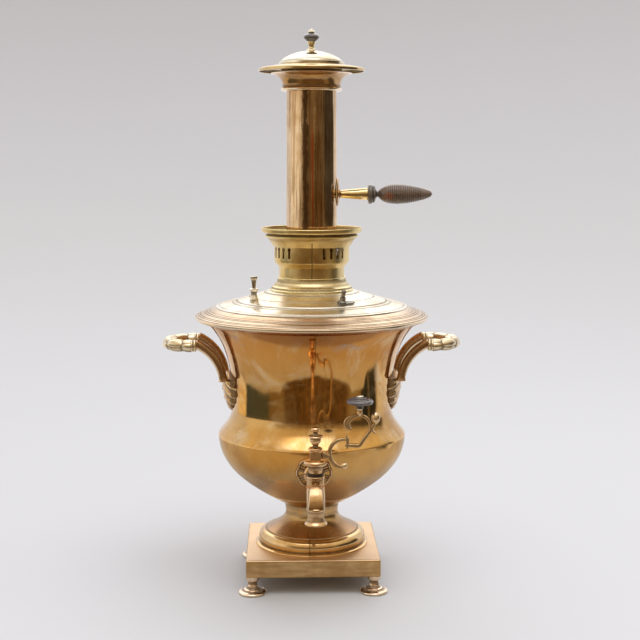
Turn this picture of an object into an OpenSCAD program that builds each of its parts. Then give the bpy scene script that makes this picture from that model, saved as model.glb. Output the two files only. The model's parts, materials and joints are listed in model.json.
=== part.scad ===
// Charcoal samovar: a footed brass urn with a tap, a chimney through its middle and a smoke cap.
// The origin is on the urn's vertical axis, at the level of the feet's soles. The tap points to -Y.

/* [Plinth and feet] */
// Width of the square plinth
plinth_w = 145; // [132:1:170]
// Height of the plinth's skirt
plinth_h = 19; // [14:1:30]
// Height of a foot
foot_h = 19; // [16:1:30]
// Radius of a foot's disc
foot_r = 15.4; // [13:0.2:18]
// Distance from the plinth's edge to a foot's axis
foot_inset = 7; // [6.6:0.2:12]
// Leg of the triangular plate in each plinth corner
corner_leg = 27; // [24:1:34]

/* [Body] */
// Thickness of the sheet brass
sheet = 1.2; // [0.8:0.1:1.6]
// Radius of the pedestal's flange
pedestal_r = 63; // [56:1:66]
// Height of the pedestal
pedestal_h = 45.5; // [38:0.5:60]
// Radius of the pedestal's neck
pedestal_neck_r = 29; // [28:0.2:33]
// Height of the bowl
bowl_h = 79.5; // [74:0.5:92]
// Radius of the shoulder, where wall and bowl meet
shoulder_r = 104; // [100:0.5:108]
// Height of the upper wall
wall_h = 124; // [116:1:140]
// Radius of the waist
waist_r = 88.3; // [84:0.1:92]
// Outer radius of the rim
rim_r = 128.5; // [126:0.5:136]
// Height of the rim ring
rim_h = 16.9; // [14.5:0.1:22]

/* [Fire tube] */
// Widest radius of the fire tube
firebox_r = 42; // [36:1:48]
// Height of the flue's mouth above the lid's neck
flue_rise = 8; // [6:0.5:12]
// Thickness of the grate
grate_t = 3.2; // [2:0.2:5]
// Width of a slot in the grate
grate_slot = 3.4; // [2.4:0.1:4]

/* [Lid] */
// Radius of the lid
lid_r = 104.6; // [102:0.2:106]
// Slope of the lid's upper face, in degrees
lid_pitch = 16.5; // [12:0.5:20]
// Height of the lid's neck
neck_h = 15.3; // [13:0.1:22]
// Radius of the circle that carries the lid's post and vent
fitting_r = 72.6; // [68:0.2:74]
// Azimuth of the post, in degrees from the tap towards +X
post_az = -59.7; // [-120:0.1:-40]
// Azimuth of the vent, in degrees from the tap towards +X
vent_az = 24.8; // [0:0.1:90]

/* [Crown] */
// Radius of the slotted band
band_r = 41; // [40:0.1:44]
// Height of the crown's skirt
skirt_h = 11; // [8:0.5:16]
// Height of the slotted band and its lower lip
band_h = 22.4; // [19:0.1:30]
// Radius of the dish's rim
dish_r = 54.9; // [53:0.1:60]
// Height of the dish
dish_h = 20.2; // [18:0.2:26]
// Slots in each of the four groups
slots_per_group = 4; // [1:1:5]
// Angle from one slot to the next
slot_pitch = 11.6; // [10:0.1:14]
// Width of a slot
slot_w = 3; // [1.6:0.1:3.2]

/* [Chimney] */
// Radius of the pipe at its foot
pipe_r = 28.2; // [26:0.1:28.8]
// Height of the pipe above the dish's floor
pipe_h = 171.8; // [120:0.1:220]
// Radius of the flange at the pipe's mouth
collar_r = 44; // [41:0.5:49]
// Height of the pipe handle above the dish's floor
grip_z = 42.2; // [36:0.2:80]
// Length of the wooden grip
grip_l = 59; // [45:1:80]
// Largest radius of the wooden grip
grip_r = 11; // [9:0.2:14]

/* [Cap] */
// Radius of the cap's brim
brim_r = 57.4; // [52:0.2:66]
// Radius of the cap's dome
dome_r = 34; // [31:0.5:37]
// Height of the cap's dome
dome_h = 12; // [9:0.5:20]
// Radius of the black knob on the cap
knob_r = 8.7; // [6.6:0.1:12]

/* [Side handles] */
// Reach of a handle from the urn's axis
handle_reach = 165; // [162:1:176]
// Distance between the two arms of a handle
arm_gap = 54; // [50:1:58]
// Half depth of an arm, in its own plane
arm_depth = 5.2; // [4.4:0.1:5.8]
// Radius of the leaf-covered bend
bend_r = 6.4; // [5.8:0.1:7.2]
// Height of a handle's bend above the shoulder
bend_rise = 101.3; // [98:0.1:104]

/* [Tap] */
// Distance from the urn's axis to the key's axis
tap_reach = 155; // [148:1:165]
// Depth of the shank below the shoulder
tap_drop = 22; // [20:0.5:24]
// Radius of the barrel
barrel_r = 8.8; // [8.2:0.1:10]
// Radius of the plug at the middle of the barrel
plug_r = 5.9; // [5.4:0.1:6.4]
// Distance from the key's axis to the nozzle's axis
spout_reach = 17; // [15:0.5:21]
// Length of the nozzle
nozzle_h = 17.2; // [15:0.2:26]
// Radius of the nozzle's bore
nozzle_bore_r = 4.2; // [3.4:0.1:5]
// Radius of the rosette behind the tap
rosette_r = 19.8; // [17:0.2:19.8]

/* [Tap key] */
// Half width of the square block that carries the branch
block_half = 5.5; // [4.6:0.1:6.4]
// Height of the square block
block_h = 9.6; // [8:0.2:14]
// Outer radius of the C-shaped scroll
scroll_r = 15.9; // [14:0.1:17]
// Radius of the arch that carries the knob
arch_r = 11.1; // [10:0.1:12.4]
// Thickness of the branch
branch_t = 4.2; // [3.6:0.1:6]
// Radius of the black knob on the branch
branch_knob_r = 13.4; // [10:0.2:15]

/* [Clearances] */
// Gap between seated pieces of one body
seat = 0.1; // [0.05:0.05:0.2]
// Radial gap between the plug and the barrel
plug_fit = 0.05; // [0.02:0.01:0.1]
// Radial gap round the lid, crown, pipe and cap, which lift off
lift_fit = 0.5; // [0.3:0.1:0.8]
// Radial gap round screws and rods
rod_fit = 0.1; // [0.05:0.05:0.2]

/* [Hidden] */
$fn = 96;
brass = [0.72, 0.55, 0.27];
pale_brass = [0.78, 0.68, 0.42];
rosy_brass = [0.76, 0.56, 0.42];
dark_brass = [0.42, 0.31, 0.16];
steel = [0.4, 0.39, 0.38];
iron = [0.16, 0.15, 0.15];
black_wood = [0.07, 0.06, 0.08];
brown_wood = [0.16, 0.1, 0.08];

// Levels of the stack, from the soles up.
plinth_z = foot_h + plinth_h;
bowl_z = plinth_z + pedestal_h;
shoulder_z = bowl_z + bowl_h;
rim_z = shoulder_z + wall_h;
lid_z = rim_z + rim_h;

// Feet: the stud goes up through the corner plate into a nut.
foot_at = plinth_w / 2 - foot_inset;
collar_foot_r = 7;
stud_r = 2.4;
corner_t = 1.6;
nut_h = 3.4;
nut_r = 4.6;
edge_round = 2.2;
draught_r = 44;

// Pedestal: a flange, a torus moulding, a cavetto and a narrow neck.
torus_r = 8.4;
flange_h = 1.3;

// Fire tube and the stack of sleeves that rise round it.
foot_ring_r = 27.2;
tube_foot_r = 29;
tube_step = 7;
flue_in = pipe_r + 2.2;
flue_r = flue_in + sheet;
sleeve_in = flue_r + 1.1;
sleeve_out = sleeve_in + 1.1;
neck_bore = sleeve_out + lift_fit;
neck_r = neck_bore + 1.4;
sleeve_drop = 6;

// Lid: a flat edge, a step, a straight slope and a flat land under the neck.
spigot_r = lid_r - 9;
spigot_drop = 8;
rim_bore_r = spigot_r + lift_fit + 0.3;
step_r = lid_r - 23.6;
step_h = 7.9;
land_r = neck_r + 11.1;
step_z = lid_z + step_h;
land_z = step_z + (step_r - land_r) * tan(lid_pitch);
neck_z = land_z + neck_h;
fitting_z = step_z + (step_r - fitting_r) * tan(lid_pitch);

// Crown and chimney.
band_z = neck_z + skirt_h + band_h;
floor_z = band_z + 0.7 * dish_h;
floor_t = 1.2;
collar_z = floor_z + pipe_h;
pipe_drop = 46;
pipe_taper = 1.1;
function pipe_at(z) = pipe_r - pipe_taper * (z - floor_z + pipe_drop) / (pipe_h + pipe_drop);
grip_level = floor_z + grip_z;
tang_r = 2;

// Tap: shank, port and spout meet in the barrel.
shank_z = shoulder_z - tap_drop;
spout_z = shank_z - 1;
port_z = shank_z - 0.5;
shank_r = 6.5;
tail_r = 5.2;
shank_plate_r = 10.8;
shank_bore_r = 3.3;
barrel_z = shank_z - 14.9;
barrel_top = shank_z + 11.2;
washer_h = 2.6;
key_z = barrel_top + seat + washer_h;
cup_h = 13.4;
block_z = key_z + cup_h;
finial_z = block_z + block_h;
plug_slope = 0.03;
function plug_at(z) = plug_r + plug_slope * (z - shank_z);

// Side handles: each arm is an arc that stands on the leaf.
leaf_z = shoulder_z + 62.6;
bend_x = handle_reach - arm_gap / 2 - bend_r;
bend_z = shoulder_z + bend_rise;
arm_turn = 67;
arm_foot_x = waist_r + 8.3;
arm_bend = (bend_x - 5.3 - arm_foot_x) / (1 - cos(arm_turn));
arm_x = arm_foot_x + arm_bend;
arm_z = bend_z + 2.1 - arm_bend * sin(arm_turn);
arm_half = 4;

function reversed(p) = [for (i = [len(p) - 1 : -1 : 0]) p[i]];

// Points of an arc round a centre, from one angle to another.
function arc(centre, r, from, to, n) =
  [for (i = [0 : n]) let (a = from + (to - from) * i / n) centre + r * [cos(a), sin(a)]];

// Points of a cubic curve with two handles.
function bezier(p0, p1, p2, p3, n) =
  [for (i = [0 : n]) let (t = i / n, s = 1 - t)
    s * s * s * p0 + 3 * s * s * t * p1 + 3 * s * t * t * p2 + t * t * t * p3];

// Unit vector to the left of the way from p to q.
function left_of(p, q) = let (d = q - p) [-d.y, d.x] / norm(d);

// Shift of a path's end, so that the cut there is level, plumb or square to the path.
function end_shift(n, t, cut) = cut == "level" ? [t / n.x, 0] : cut == "plumb" ? [0, t / n.y] : t * n;

// The same path moved to its left by t, with mitred corners.
function inset(p, t, first, last) =
  let (m = len(p) - 1)
  [for (i = [0 : m])
    let (a = i > 0 ? left_of(p[i - 1], p[i]) : left_of(p[0], p[1]),
         b = i < m ? left_of(p[i], p[i + 1]) : a)
    p[i] + (i == 0 ? end_shift(a, t, first) : i == m ? end_shift(a, t, last) : t * (a + b) / (1 + a * b))];

// A band along a path, which tapers from width w0 to w1.
function band(p, w0, w1) =
  let (m = len(p) - 1,
       side = [for (i = [0 : m]) left_of(p[max(i - 1, 0)], p[min(i + 1, m)])],
       half = [for (i = [0 : m]) (w0 + (w1 - w0) * i / m) / 2])
  concat([for (i = [0 : m]) p[i] + half[i] * side[i]], [for (i = [m : -1 : 0]) p[i] - half[i] * side[i]]);

// An oval of half sizes a and b with its centre at x = r; lobes press n grooves of the given depth into it.
function oval(r, a, b, steps, n = 0, depth = 0) =
  [for (i = [0 : steps - 1]) let (t = 360 * i / steps, k = 1 - depth * (1 - abs(cos(n * t / 2))))
    [r + k * a * cos(t), k * b * sin(t)]];

// Sheet metal spun to a path: the path is the outer face, the inner face is a sheet's thickness to its left.
module spun(path, first, last, t = sheet) {
  rotate_extrude() polygon(concat(path, reversed(inset(path, t, first, last))));
}

// A cross-section with rounded upper corners, from z0 to z1.
function loaf(w, z0, z1, r) =
  concat([[-w / 2, z0]], arc([r - w / 2, z1 - r], r, 180, 90, 5), arc([w / 2 - r, z1 - r], r, 90, 0, 5),
    [[w / 2, z0]]);

module rounded_block(w, z0, z1, r) {
  corner = w / 2 - r;
  intersection() {
    rotate([90, 0, 0]) linear_extrude(height = w, center = true) polygon(loaf(w, z0, z1, r));
    rotate([90, 0, 90]) linear_extrude(height = w, center = true) polygon(loaf(w, z0, z1, r));
    translate([0, 0, z0])
      linear_extrude(height = z1 - z0)
        polygon(concat(arc([corner, corner], r, 0, 90, 4), arc([-corner, corner], r, 90, 180, 4),
          arc([-corner, -corner], r, 180, 270, 4), arc([corner, -corner], r, 270, 360, 4)));
  }
}

// Plinth: an open box of sheet brass with a round draught hole under the pedestal.
module plinth() {
  color(brass)
  difference() {
    rounded_block(plinth_w, foot_h, plinth_z, edge_round);
    rounded_block(plinth_w - 2 * sheet, foot_h - 1, plinth_z - sheet, edge_round - 0.6 * sheet);
    translate([0, 0, foot_h]) cylinder(h = 2 * plinth_h, r = draught_r);
  }
}

// Corner plates: four triangles that carry the feet.
module corner_plates() {
  reach = plinth_w / 2 - sheet - seat;
  clip = edge_round;
  color(dark_brass)
  for (turn = [0 : 90 : 270]) rotate([0, 0, turn])
    difference() {
      translate([0, 0, foot_h])
        linear_extrude(height = corner_t)
          polygon([[reach - clip, reach], [reach - corner_leg, reach], [reach, reach - corner_leg],
            [reach, reach - clip]]);
      translate([foot_at, foot_at, 0]) cylinder(h = plinth_z, r = stud_r + rod_fit);
    }
}

// A turned foot: disc, ring, cup, neck, flared collar and stud.
module turned_foot(x, y) {
  k = foot_h;
  color(pale_brass)
  translate([x, y, 0])
    rotate_extrude()
      polygon([[0, 0], [foot_r - 1.8, 0], [foot_r - 0.6, 0.03 * k], [foot_r, 0.08 * k],
        [foot_r - 0.4, 0.135 * k], [foot_r - 1.3, 0.17 * k], [0.63 * foot_r, 0.225 * k],
        [0.6 * foot_r, 0.29 * k], [0.42 * foot_r, 0.32 * k], [0.37 * foot_r, 0.37 * k],
        [0.37 * foot_r, 0.47 * k], [0.3 * foot_r, 0.62 * k], [0.33 * foot_r, 0.71 * k],
        [collar_foot_r - 0.5, 0.76 * k], [collar_foot_r, 0.8 * k], [collar_foot_r, k], [stud_r, k],
        [stud_r, k + corner_t + nut_h + 1], [0, k + corner_t + nut_h + 1]]);
}
module foot_front_left() turned_foot(-foot_at, -foot_at);
module foot_front_right() turned_foot(foot_at, -foot_at);
module foot_rear_left() turned_foot(-foot_at, foot_at);
module foot_rear_right() turned_foot(foot_at, foot_at);

module foot_nuts() {
  color(steel)
  for (turn = [0 : 90 : 270]) rotate([0, 0, turn])
    translate([foot_at, foot_at, foot_h + corner_t])
      difference() {
        cylinder(h = nut_h, r = nut_r, $fn = 6);
        translate([0, 0, -1]) cylinder(h = nut_h + 2, r = stud_r + rod_fit);
      }
}

// Outer face of the bowl, from its foot ring to the shoulder; its low part lies inside the pedestal's flare.
bowl_foot = [[foot_ring_r, bowl_z], [foot_ring_r + 2.4, bowl_z]];
bowl_curve = reversed(bezier([shoulder_r - 0.2, shoulder_z], [shoulder_r + 2.5, bowl_z + 0.673 * bowl_h],
  [0.856 * shoulder_r, bowl_z + 0.421 * bowl_h], [foot_ring_r + 3, bowl_z + 0.4], 18));
flare_r = 52;
bowl_low = [for (p = bowl_curve) if (p.x < flare_r) p];
bowl_high = [for (p = bowl_curve) if (p.x > flare_r + 2) p];
bowl_path = concat(inset(concat(bowl_foot, bowl_low), sheet + seat, "plumb", "square"), bowl_high);

// Pedestal: flange, torus, groove and cavetto up to the neck, and a thin flare on which the bowl lies.
module pedestal() {
  torus = arc([pedestal_r - 12, plinth_z + flange_h + 6.3], torus_r, -35, 82, 10);
  lip = torus[10];
  k = pedestal_h / 45.5;
  curve = bezier([lip.x - 1.6, lip.y + 1.2], [lip.x - 13, lip.y + 6],
    [pedestal_neck_r, lip.y + 13 * k], [pedestal_neck_r, plinth_z + 36 * k], 10);
  outer = concat(torus, [[lip.x - 0.9, lip.y + 0.1]], curve,
    [[pedestal_neck_r + 0.6, bowl_z - 5.5], [pedestal_neck_r + 1, bowl_z - 0.6]]);
  inner = reversed(inset(concat(torus, curve), sheet, "square", "square"));
  neck_in = foot_ring_r - 0.4;
  color(brass)
  rotate_extrude()
    polygon(concat([[pedestal_r, plinth_z], [pedestal_r, plinth_z + flange_h],
        [pedestal_r - 1.6, plinth_z + flange_h + 0.9]],
      outer, bowl_low, reversed(inset(concat(bowl_foot, bowl_low), sheet, "plumb", "square")),
      [[neck_in, bowl_z + sheet], [neck_in, inner[0].y]], inner, [[inner[len(inner) - 1].x, plinth_z]]));
}

// Bowl: spun sheet with a hole for the tap's tail.
module bowl() {
  color(brass)
  difference() {
    spun(bowl_path, "plumb", "level");
    translate([0, 0, shank_z]) rotate([90, 0, 0]) cylinder(h = 2 * shoulder_r, r = tail_r + rod_fit);
  }
}

// Outer face of the upper wall, from the shoulder over the waist to the flare under the rim.
wall_path = concat(
  bezier([shoulder_r - 0.2, shoulder_z], [shoulder_r - 0.2, shoulder_z + 0.089 * wall_h],
    [waist_r, shoulder_z + 0.105 * wall_h], [waist_r, shoulder_z + 0.242 * wall_h], 10),
  bezier([waist_r, shoulder_z + 0.339 * wall_h], [waist_r, shoulder_z + 0.556 * wall_h],
    [waist_r + 4.7, shoulder_z + 0.806 * wall_h], [rim_r - 17, rim_z - 4], 14),
  [[rim_r - 13.5, rim_z], [rim_r - 7.5 - seat / 2, rim_z + 2]]);

module body_wall() {
  color(brass) spun(wall_path, "level", "plumb");
}

// Rim ring: a rolled edge, two steps and a flat land under the lid.
module rim_ring() {
  rise = rim_h / 16.9;
  function up(z) = rim_z + z * rise;
  color(rosy_brass)
  spun([[rim_r - 7.5 + seat / 2, rim_z + 2], [rim_r - 0.7, up(4.5)], [rim_r, up(7.2)], [rim_r - 2.5, up(9)],
    [rim_r - 6.4, up(10.5)], [rim_r - 10.4, up(11.9)], [rim_r - 11.3, up(12.4)], [rim_r - 16.6, up(14.2)],
    [rim_r - 17.6, up(14.8)], [rim_r - 22.3, lid_z], [rim_bore_r, lid_z]], "plumb", "plumb");
}

// Fire tube: a belly round the fire, a ledge for the grate and a straight flue.
tube_z = bowl_z + 2 * sheet + 2 * seat;
ledge_z = tube_z + 3.4;
module fire_tube() {
  top = neck_z + flue_rise;
  tube_in = tube_foot_r - sheet;
  curve = bezier([tube_foot_r, tube_z + tube_step], [firebox_r + 4, tube_z + 0.4 * bowl_h],
    [flue_r + 4, shoulder_z], [flue_r, shoulder_z + 0.7 * wall_h], 12);
  color(iron)
  union() {
    spun(concat([[tube_foot_r, tube_z]], curve, [[flue_r, top]]), "level", "level");
    translate([0, 0, ledge_z - 2])
      difference() {
        cylinder(h = 2, r = tube_foot_r - sheet / 2);
        translate([0, 0, -1]) cylinder(h = 4, r = tube_in - 2.4);
      }
  }
}

// Grate: a slotted disc on the fire tube's ledge.
module grate() {
  r = tube_foot_r - sheet - 2 * lift_fit;
  pitch = 1.9 * grate_slot;
  color(iron)
  difference() {
    translate([0, 0, ledge_z]) cylinder(h = grate_t, r = r);
    for (i = [-2 : 2])
      translate([-sqrt(r * r - i * i * pitch * pitch) + 4, i * pitch - grate_slot / 2, ledge_z - 1])
        cube([2 * sqrt(r * r - i * i * pitch * pitch) - 8, grate_slot, grate_t + 2]);
  }
}

// One side handle: two arms rise from the leaf, pass their collars and meet in a leaf-covered bend.
module handle_loop() {
  half = arm_gap / 2;
  sheath = 30;
  union() {
    for (side = [-1, 1]) {
      difference() {
        union() {
          translate([arm_x, side * half, arm_z]) rotate([90, 0, 0]) rotate([0, 0, 180 - arm_turn])
            rotate_extrude(angle = arm_turn) polygon(oval(arm_bend, arm_depth, arm_half, 16));
          if (arm_z > leaf_z)
            translate([0, side * half, leaf_z - 1])
              linear_extrude(height = arm_z - leaf_z + 1) polygon(oval(arm_foot_x, arm_depth, arm_half, 16));
        }
        translate([waist_r, -arm_gap, leaf_z - arm_gap]) cube([waist_r, 2 * arm_gap, arm_gap]);
      }
      translate([bend_x - 6.2, side * half, bend_z]) rotate([0, 90, 0])
        rotate_extrude()
          polygon([[0, 0], [bend_r - 1, 0], [bend_r - 0.1, 0.6], [bend_r + 0.1, 1.6], [bend_r - 0.1, 2.5],
            [bend_r - 0.8, 3.1], [bend_r - 0.1, 3.7], [bend_r + 0.1, 4.7], [bend_r - 0.3, 5.8],
            [bend_r - 0.8, 6.6], [0, 6.6]]);
      translate([bend_x, 0, bend_z]) rotate([0, 0, side > 0 ? 90 - sheath : -90])
        rotate_extrude(angle = sheath) polygon(oval(half, bend_r + 0.5, bend_r + 0.5, 24, 6, 0.12));
    }
    translate([bend_x, 0, bend_z]) rotate([0, 0, -90])
      rotate_extrude(angle = 180) polygon(oval(half, bend_r, bend_r, 24, 6, 0.1));
  }
}
module right_handle_loop() color(dark_brass) handle_loop();
module left_handle_loop() color(dark_brass) mirror([1, 0, 0]) handle_loop();

// Leaf under a handle: it hugs the waist, carries both arms and has slanting ribs.
module handle_leaf() {
  half = arm_gap / 2;
  tip_z = leaf_z - 37.4;
  crown_z = leaf_z + 8;
  side = concat(bezier([0, tip_z], [9, tip_z + 1], [half + 5, leaf_z - 28], [half + 5, leaf_z - 12], 8),
    [[half + 5, leaf_z], [half - 5.5, leaf_z]],
    bezier([half - 6, leaf_z + 0.4], [half - 12, leaf_z + 1], [9, crown_z], [0, crown_z], 6));
  outline = concat(side, [for (i = [len(side) - 2 : -1 : 1]) [-side[i].x, side[i].y]]);
  face = concat(bezier([waist_r + 1.3, tip_z - 0.8], [waist_r + 6.7, leaf_z - 34],
      [waist_r + 11.2, leaf_z - 22], [waist_r + 11.2, leaf_z - 9], 8),
    [[waist_r + 11, leaf_z], [waist_r + 7, leaf_z + 4.5], [waist_r + 3, crown_z + 0.5]]);
  skin = inset([for (p = wall_path) if (p.y > tip_z - 12 && p.y < crown_z + 22) p], -seat, "level", "level");
  difference() {
    intersection() {
      translate([waist_r / 2, 0, 0]) rotate([90, 0, 90]) linear_extrude(height = waist_r) polygon(outline);
      union() {
        rotate_extrude() polygon(concat([[waist_r / 2, tip_z - 0.8]], face, [[waist_r / 2, crown_z + 0.5]]));
        intersection() {
          rotate_extrude()
            polygon(concat([[waist_r / 2, tip_z - 0.8]], [for (p = face) [p.x + 0.9, p.y]],
              [[waist_r / 2, crown_z + 0.5]]));
          for (i = [0 : 3], flip = [0, 1])
            mirror([0, flip, 0])
              translate([waist_r / 2, 0, tip_z + 3 + 7 * i]) rotate([34, 0, 0])
                cube([waist_r, arm_gap, 2.6]);
        }
      }
    }
    rotate_extrude() polygon(concat([[0, skin[0].y]], skin, [[0, skin[len(skin) - 1].y]]));
  }
}
module right_handle_leaf() color(dark_brass) handle_leaf();
module left_handle_leaf() color(dark_brass) mirror([1, 0, 0]) handle_leaf();

// A layer over the bowl, from a to b outside its face.
module bowl_layer(a, b) {
  path = [for (p = bowl_curve) if (p.y > bowl_z + 0.2 * bowl_h) p];
  near = inset(path, -a, "level", "level");
  far = inset(path, -b, "level", "level");
  rotate_extrude() polygon(concat(near, reversed(far)));
}

// Rosette: a lobed plate with raised rays, bent to the bowl.
module tap_rosette() {
  lobes = 8;
  centre_z = shank_z - 0.5;
  outline = [for (i = [0 : 71])
    let (a = 5 * i, lobe = 0.93 + 0.07 * abs(cos(lobes * a / 2)))
    rosette_r * lobe * [cos(a), sin(a)]];
  color(dark_brass)
  difference() {
    union() {
      intersection() {
        bowl_layer(seat, 2.3);
        translate([0, 0, centre_z]) rotate([90, 0, 0])
          linear_extrude(height = 2 * shoulder_r) polygon(outline);
      }
      intersection() {
        bowl_layer(seat, 3.2);
        translate([0, 0, centre_z]) rotate([90, 0, 0])
          for (i = [0 : lobes - 1]) rotate([0, 0, 360 * (i + 0.5) / lobes])
            translate([shank_plate_r + 0.6, -1.1, 0])
              cube([rosette_r * 0.92 - shank_plate_r - 0.6, 2.2, 2 * shoulder_r]);
      }
    }
    translate([0, 0, shank_z]) rotate([90, 0, 0]) cylinder(h = 2 * shoulder_r, r = tail_r + rod_fit);
  }
}

// Tap: tail and shank, upright barrel, faceted elbow and flared nozzle, with the water way through them.
module tap_body() {
  tail_y = shoulder_r - 7;
  plate_y = shoulder_r + 2;
  nozzle_z = spout_z - spout_reach + 1.6;
  mouth_z = nozzle_z - nozzle_h;
  color(brass)
  difference() {
    union() {
      translate([0, 0, shank_z]) rotate([90, 0, 0])
        rotate_extrude()
          polygon([[0, tail_y], [tail_r, tail_y], [tail_r, plate_y], [shank_plate_r - 0.4, plate_y],
            [shank_plate_r, plate_y + 1],
            [9.2, plate_y + 3], [shank_r, plate_y + 5.5], [shank_r - 0.5, tap_reach - 22],
            [shank_r + 0.4, tap_reach - 14], [shank_r + 0.4, tap_reach - 1], [0, tap_reach - 1]]);
      translate([0, -tap_reach, 0])
        rotate_extrude()
          polygon([[0, barrel_z], [barrel_r - 1.6, barrel_z], [barrel_r - 0.6, barrel_z + 1],
            [barrel_r, barrel_z + 4], [barrel_r, barrel_top - 3], [barrel_r + 0.4, barrel_top - 2.4],
            [barrel_r + 0.4, barrel_top - 0.5], [barrel_r, barrel_top], [0, barrel_top]]);
      translate([0, -tap_reach, spout_z - spout_reach]) rotate([90, 0, -90])
        rotate_extrude(angle = 90)
          polygon([for (i = [0 : 7]) let (a = 45 * i + 22.5)
            [spout_reach + 7.9 * cos(a), (barrel_r + 0.5) * sin(a)]]);
      translate([0, -tap_reach - spout_reach, mouth_z])
        rotate_extrude()
          polygon([[0, 0], [10.6, 0], [11.2, 0.5], [11.2, 1.2], [10.4, 2.4], [8.8, 0.24 * nozzle_h],
            [7.9, 0.44 * nozzle_h], [8, 0.62 * nozzle_h], [8.5, nozzle_h - 3.4], [9.3, nozzle_h - 2.4],
            [9.3, nozzle_h - 0.8], [8.6, nozzle_h], [0, nozzle_h]]);
    }
    translate([0, -tap_reach, 0])
      rotate_extrude()
        polygon([[0, barrel_z - 1], [plug_at(barrel_z - 1) + plug_fit, barrel_z - 1],
          [plug_at(barrel_top + 1) + plug_fit, barrel_top + 1], [0, barrel_top + 1]]);
    translate([0, 0, shank_z]) rotate([90, 0, 0])
      translate([0, 0, tail_y - 1]) cylinder(h = tap_reach - tail_y, r = shank_bore_r);
    translate([0, -tap_reach, spout_z - spout_reach]) rotate([90, 0, -90])
      rotate_extrude(angle = 88) translate([spout_reach, 0]) circle(r = nozzle_bore_r - 0.4, $fn = 48);
    translate([0, -tap_reach - spout_reach, mouth_z - 1])
      cylinder(h = spout_z - spout_reach - mouth_z + 1.5, r = nozzle_bore_r);
  }
}

// Key: tapered plug with its port, cup, rolled flange and square block.
module tap_plug() {
  foot_z = barrel_z - 1.2;
  stem_r = plug_at(barrel_top) - 0.7;
  color(brass)
  translate([0, -tap_reach, 0])
    difference() {
      union() {
        rotate_extrude()
          polygon([[0, foot_z], [plug_at(foot_z), foot_z], [plug_at(barrel_top), barrel_top],
            [stem_r, barrel_top + seat / 2], [stem_r, key_z], [stem_r + 1.2, key_z],
            [7, key_z + 4.2], [8.2, key_z + 7.6], [10.8, key_z + 8.6], [11.9, key_z + 10],
            [11.9, key_z + 11.6], [10.9, key_z + 12.9], [8.4, key_z + cup_h], [0, key_z + cup_h]]);
        translate([-block_half, -block_half, block_z - 0.4])
          cube([2 * block_half, 2 * block_half, block_h + 0.4]);
      }
      translate([0, 0, port_z]) rotate([0, 90, 0])
        cylinder(h = 4 * plug_r, r = shank_bore_r + 0.2, center = true);
    }
}

module plug_washer() {
  color(iron)
  translate([0, -tap_reach, barrel_top + seat / 2])
    difference() {
      cylinder(h = washer_h, r = barrel_r - 0.7);
      translate([0, 0, -1]) cylinder(h = washer_h + 2, r = plug_at(barrel_top) - 0.7 + rod_fit);
    }
}

// Finial on the block: disc, vase, disc, neck and knob.
module tap_finial() {
  color(pale_brass)
  translate([0, -tap_reach, finial_z])
    rotate_extrude()
      polygon([[0, 0], [6.2, 0], [7.1, 1], [7.1, 2.2], [5.4, 3.2], [3, 3.9], [2.65, 4.9], [3.6, 6.6],
        [5.2, 8.6], [5.7, 10.6], [5.2, 12.3], [5.6, 12.9], [7.4, 13.4], [7.6, 14.2], [7, 15],
        [3.4, 15.8], [2.3, 17],
        [2.3, 18.4], [3.4, 19.2], [4.5, 20.6], [4.5, 21.8], [3.4, 23.1], [1.5, 23.8], [0, 23.8]]);
}

// Centres of the branch's scroll and arch, from the key's axis and the block's foot.
scroll_c = [12.1 + scroll_r, block_z + 6.6];
arch_c = scroll_c + [15.3, 27.1];
stem_x = arch_c.x + 0.6;
stem_top = arch_c.y + arch_r + 6.8;
screw_r = 1.6;

// Branch: C-shaped scroll, slanting bar, arch with a leaf, buds and the stem of the knob.
module scroll_branch() {
  mid = scroll_r - 1.8;
  hook = scroll_c + [2.4, 8];
  bar = concat([[hook.x - 1, scroll_c.y + 8.2], [hook.x + 13, scroll_c.y + 7.4]],
    bezier([hook.x + 15.4, scroll_c.y + 10.4], [hook.x + 18, scroll_c.y + 15],
      [hook.x + 24, scroll_c.y + 21], [hook.x + 28.4, scroll_c.y + 30], 6));
  arch = concat([arch_c + [16.4, -7.2], arch_c + [13.4, -4.6]], arc(arch_c, arch_r, -8, 168, 14),
    [arch_c + [-9.4, -1.8], arch_c + [-7.2, -3]]);
  leaf = bezier(arch_c + [-8.6, -2.6], arch_c + [-17, 1], arch_c + [-14, 9], arch_c + [-5.4, 11.2], 8);
  color(dark_brass)
  translate([0, -tap_reach, 0])
    difference() {
      union() {
        rotate([90, 0, 0])
          linear_extrude(height = branch_t, center = true) {
            polygon(band(arc(scroll_c, mid, 74, 266, 22), 3.2, 3.8));
            polygon([scroll_c + [-1, mid + 1], scroll_c + [3.2, mid + 5.2], hook + [2.3, 4],
              hook + [1.6, -3.6], hook + [-0.4, -3.6], hook + [-0.6, 4]]);
            polygon(band(bar, 3.4, 3));
            polygon(band(arch, 1.8, 2.8));
            polygon(band(leaf, 3, 1.6));
          }
        translate([block_half + seat, -4, block_z + 0.4]) cube([12.1 + 2 - block_half, 8, block_h - 1]);
        translate([scroll_c.x + 0.6, 0, scroll_c.y - mid + 1.4]) sphere(r = 3.4, $fn = 32);
        translate([hook.x + 29.2, 0, scroll_c.y + 35.5])
          rotate_extrude($fn = 32)
            polygon([[0, -7], [2.2, -5.6], [4.2, -2.6], [4.6, 0.4], [3.6, 3.6], [1.6, 5.6], [0, 6]]);
        translate([stem_x, 0, 0])
          rotate_extrude($fn = 32)
            polygon([[0, arch_c.y + arch_r - 0.6], [2, arch_c.y + arch_r - 0.6],
              [2.9, arch_c.y + arch_r + 2.6], [2.4, stem_top - 2], [3, stem_top], [0, stem_top]]);
      }
      translate([stem_x, 0, stem_top - 5]) cylinder(h = 8, r = screw_r + rod_fit, $fn = 32);
    }
}

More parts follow.
